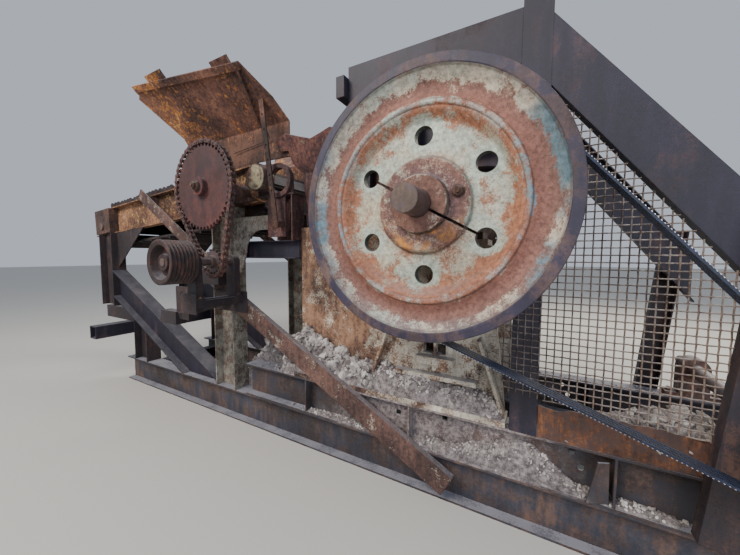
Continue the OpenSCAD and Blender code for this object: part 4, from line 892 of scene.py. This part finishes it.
def makeStones(name, spots, sizes, seed, cuts=0, flat=0.75):
    # broken stones: icosahedra with each corner pushed in or out, squeezed and turned at random
    dice = np.random.default_rng(seed)
    base, faces = stoneBase(cuts)
    count = len(spots)
    points = base[None] * (1 + dice.uniform(-0.30, 0.18, (count, len(base), 1)))
    points = points * np.stack([dice.uniform(0.75, 1.25, count), dice.uniform(0.7, 1.0, count),
                                dice.uniform(0.5, flat, count)], axis=1)[:, None]
    axes = dice.normal(size=(count, 3, 3))
    first = unit(axes[:, 0])
    second = unit(np.cross(axes[:, 1], first))
    points = turned(points, first, second, np.cross(first, second)) * sizes[:, None, None] + spots[:, None]
    every = np.asarray(faces)[None] + (np.arange(count) * len(base))[:, None, None]
    makePiece(name, points.reshape(-1, 3), every.reshape(-1, len(faces[0])), "brokenStone")


def heapHeight(x, y, values):
    xs, zs = zip(*values["crest"])
    crest = np.interp(x, xs, zs)
    away = y - values["crestY"]
    fall = np.where(away < 0, values["nearFall"], values["farFall"])
    z = crest - np.sqrt(away ** 2 + 0.003) * fall * np.clip(crest / 0.5, 0, 1)
    return np.maximum(z + 0.016 * waves2d(x, y, 3, 0.22) + 0.008 * waves2d(x, y, 4, 0.07), 0.004)


def bankHeight(x, t, line, wide, ledge):
    # t is 0 at the plate and 1 at the ledge's edge; the bank bulges like a quarter of an ellipse
    high = np.interp(x, *zip(*line))
    rise = (high - ledge) * np.sqrt(np.clip(1 - np.clip(t, 0, 1) ** 1.7, 0, 1))
    uneven = 0.012 * waves2d(x, t * wide, 5, 0.16) + 0.006 * waves2d(x, t * wide, 6, 0.05)
    return np.maximum(ledge + rise + uneven * np.clip(rise / 0.08, 0, 1), ledge)


def scattered(dice, count, *ranges):
    # random numbers, an array for each range
    return [dice.uniform(*each, count) for each in ranges]


def makeBank(name, line, plate, wide, ledge, stones, most):
    dice = np.random.default_rng(len(name))
    first, last = line[0][0], line[-1][0]
    x, t = np.meshgrid(np.linspace(first, last, 90), np.linspace(0, 1, 26), indexing="ij")
    y = plate - wide * t
    top = xyz(x, y, bankHeight(x, t, line, wide, ledge))
    makePiece(name, *moundShell(top[:, ::-1], xyz(x, y, ledge - 0.001)[:, ::-1]), "packedDirt")
    x, t = scattered(dice, stones, (first + 0.02, last - 0.02), (0.05, 0.95))
    size = 0.006 + most * dice.random(stones) ** 2.0
    z = bankHeight(x, t, line, wide, ledge) + size * 0.1
    makeStones(name + "Stones", xyz(x, plate - wide * t - 0.003, z), size, len(name) + 40)


def makeRubble(values):
    dice = np.random.default_rng(values["seed"])
    wide, count = values["halfWide"], values["stones"]
    first, last = values["crest"][0][0], values["crest"][-1][0]
    x, y = np.meshgrid(np.linspace(first, last, 120), np.linspace(-wide, wide, 70), indexing="ij")
    makePiece("heap", *moundShell(xyz(x, y, heapHeight(x, y, values)), xyz(x, y, 0.001)), "packedDirt")
    x, y = scattered(dice, count, (first + 0.05, last - 0.05), (-wide + 0.03, wide - 0.03))
    z = heapHeight(x, y, values)
    keep = z > 0.05
    size = 0.012 + 0.030 * dice.random(count) ** 2.2
    makeStones("heapStones", xyz(x, y, z + size * 0.15)[keep], size[keep], 11)
    boulders = np.array(values["boulders"])
    makeStones("boulders", boulders[:, :3], boulders[:, 3], 13, cuts=1, flat=0.9)
    spots, sizes = [], []
    for x0, x1, y0, y1, z, count, most in values["ledges"]:
        size = 0.004 + most * dice.random(count) ** 2.6
        spots.append(xyz(*scattered(dice, count, (x0, x1), (y0, y1)), z + size * 0.35))
        sizes.append(size)
    makeStones("ledgeGravel", np.vstack(spots), np.concatenate(sizes), 14)


makeRubble(rubble)
for name, about in banks.items():
    makeBank(name, *about)
print("rubble heaped")

apron = {"level": 2.522, "at": -2.02, "deg": 4, "from": -4.95, "to": -1.95, "stonesWithin": 0.42,
         "dirtWithin": 0.43, "seed": 21, "stones": 420}


def makeApronLoad(values):
    # dirt and stones that stayed on the feeder's plates
    dice = np.random.default_rng(values["seed"])
    first, last, wide, count = (values[k] for k in ("from", "to", "dirtWithin", "stones"))
    slope = math.tan(math.radians(values["deg"]))
    x, y = np.meshgrid(np.linspace(first, last, 180), np.linspace(-wide, wide, 50), indexing="ij")
    deck = values["level"] + (x - values["at"]) * slope
    edge = np.clip((wide - abs(y)) / 0.12, 0, 1)
    edge = edge * np.clip((x - first) / 0.2, 0, 1) * np.clip((last - x) / 0.15, 0, 1)
    height = 0.030 + 0.022 * waves2d(x, y, 22, 0.5) + 0.007 * waves2d(x, y, 23, 0.09)
    points, faces = moundShell(xyz(x, y, deck + np.maximum(height, -0.004) * edge), xyz(x, y, deck - 0.012))
    makePiece("apronDirt", points, faces, "packedDirt")
    wide = values["stonesWithin"]
    x, y = scattered(dice, count, (first, last), (-wide, wide))
    size = 0.012 + 0.045 * dice.random(count) ** 2.5
    y = np.clip(y, -wide + size * 1.2, wide - size * 1.2)
    z = values["level"] + (x - values["at"]) * slope + 0.012 + size * 0.4
    makeStones("apronStones", xyz(x, y, z), size, 24)


makeApronLoad(apron)
print("apron loaded")

kickPlate = {"x": (0.612, 1.405), "z": (0.611, 0.800), "y": (-0.620, -0.612), "wave": 0.004}


def makeKickPlate(values):
    # a thin plate under the screen, a little wavy, its top edge bitten by rust
    x, t = np.meshgrid(np.linspace(*values["x"], 120), np.linspace(0, 1, 16), indexing="ij")
    low, high = values["z"]
    edge = high + 0.008 * waves2d(x, x * 0, 31, 0.12) * (x > 0.62)
    z = low + (edge - low) * t
    lean = values["wave"] * waves2d(x, z, 32, 0.4) * t
    shell = moundShell(*(xyz(x, y + lean, z) for y in values["y"]))
    outwards(makePiece("kickPlate", *shell, "orangeRust").data)


makeKickPlate(kickPlate)

flights = {"count": 34, "from": -4.93, "to": -2.06, "height": 0.095, "thick": 0.012, "y": 0.438,
           "halfWide": 0.66, "below": 0.02, "seed": 5}


def makeFlightEnds(values, deck):
    # each apron plate has rounded ends standing up, overlapping the next like scales
    slope = math.radians(deck["deg"])
    step = (values["to"] - values["from"]) / values["count"]
    turn = np.linspace(math.pi, 0, 11)
    wide, below = values["halfWide"] * step, values["below"]
    arch = np.stack([wide * np.cos(turn), values["height"] * np.sin(turn) ** 0.6], axis=1)
    shape = np.vstack([arch, [(wide, -below), (-wide, -below)]])
    half = values["thick"] / 2
    template = np.vstack([xyz(shape[:, 0], y, shape[:, 1]) for y in (-half, half)])
    faces = shellFaces(2, len(shape))
    dice = np.random.default_rng(values["seed"])
    odd = (-1.0) ** np.arange(values["count"])
    x = values["from"] + (np.arange(values["count"]) + 0.5) * step
    z = deck["level"] + (x - deck["at"]) * math.tan(slope)
    parts = []
    for side in (-1, 1):
        lean = dice.uniform(-0.10, 0.16, len(x))
        along = xyz(math.cos(slope), 0.02 * side * odd, math.sin(slope))
        up = xyz(-math.sin(slope), side * lean, math.cos(slope))
        places = xyz(x, side * (values["y"] + 0.004 * odd), z)
        parts.append(placed(template, faces, places, along, np.cross(up, along), up))
    outwards(makePiece("flightEnds", *joined(parts), "darkRust").data)


makeFlightEnds(flights, apron)

# a bent steel rod leans from the strut on the hopper's edge
rodPath = [(-1.470, -0.700, 2.716), (-1.50, -0.66, 2.712), (-1.56, -0.585, 2.706), (-1.64, -0.567, 2.697),
           (-1.78, -0.5665, 2.682), (-1.92, -0.5665, 2.668), (-2.02, -0.567, 2.658),
           (-2.05, -0.570, 2.650)]
makePiece("bentRod", *tube(rodPath, 0.0035, 6), "darkRust", smoothAngle=60)

# the fixed jaw's face, the height where the swinging jaw is narrowest and how fast the gap widens
jawRocks = {"seed": 9, "count": 16, "fixed": -1.133, "narrowAt": 0.832, "slope": 0.5019,
            "size": (0.055, 0.125), "within": 0.38}


def makeJawRocks(values):
    # rocks wedged between the jaws, each as low as its size lets it fall
    dice = np.random.default_rng(values["seed"])
    count, wide = values["count"], values["within"]
    size = dice.uniform(*values["size"], count)
    y = np.linspace(-wide, wide, count)[dice.permutation(count)]
    z = values["narrowAt"] + (1.75 * size - 0.09) / values["slope"]
    makeStones("jawRocks", xyz(values["fixed"] + 0.875 * size, y, z), size * 0.92, 15, cuts=1, flat=0.95)


makeJawRocks(jawRocks)
print("kick plate, flight ends, rod and jaw rocks made")

studio = {
    "floorColour": "#b9b7b2",
    "skyColour": "#d3dbe8",
    "skyStrength": 0.75,
    "floorHalf": 60,
    # name, place, aimed at, size, watts, colour
    "lights": [
        ("key", (-3.5, -7.0, 7.5), (-1.0, 0, 1.3), 4.0, 1000, "#fff6ea"),
        ("fill", (5.0, -6.5, 4.0), (0.0, 0, 1.2), 5.0, 380, "#e8f0ff"),
        ("rim", (4.0, 6.5, 7.5), (-0.5, 0, 1.5), 4.0, 900, "#fff4e0"),
    ],
}


def makeStudio(values):
    corners = np.array([(-1, -1, 0), (1, -1, 0), (1, 1, 0), (-1, 1, 0)]) * values["floorHalf"]
    floor = newObject("floor", corners, [(0, 1, 2, 3)])
    material, add = newMaterial("paleFloor")
    shader = add("BsdfPrincipled", {"Base Color": hexColour(values["floorColour"]), "Roughness": 0.9})
    add("OutputMaterial", {"Surface": shader})
    floor.data.materials.append(material)
    world = bpy.data.worlds.new("studio")
    world.use_nodes = True
    sky = world.node_tree.nodes["Background"]
    sky.inputs["Color"].default_value = hexColour(values["skyColour"])
    sky.inputs["Strength"].default_value = values["skyStrength"]
    scene.world = world
    for name, spot, aim, size, watts, colour in values["lights"]:
        lamp = bpy.data.lights.new(name, "AREA")
        lamp.size, lamp.energy, lamp.color = size, watts, hexColour(colour)[:3]
        light = bpy.data.objects.new(name, lamp)
        light.location = spot
        light.rotation_euler = (Vector(aim) - Vector(spot)).to_track_quat("-Z", "Y").to_euler()
        scene.collection.objects.link(light)


makeStudio(studio)
print("floor and lights set")
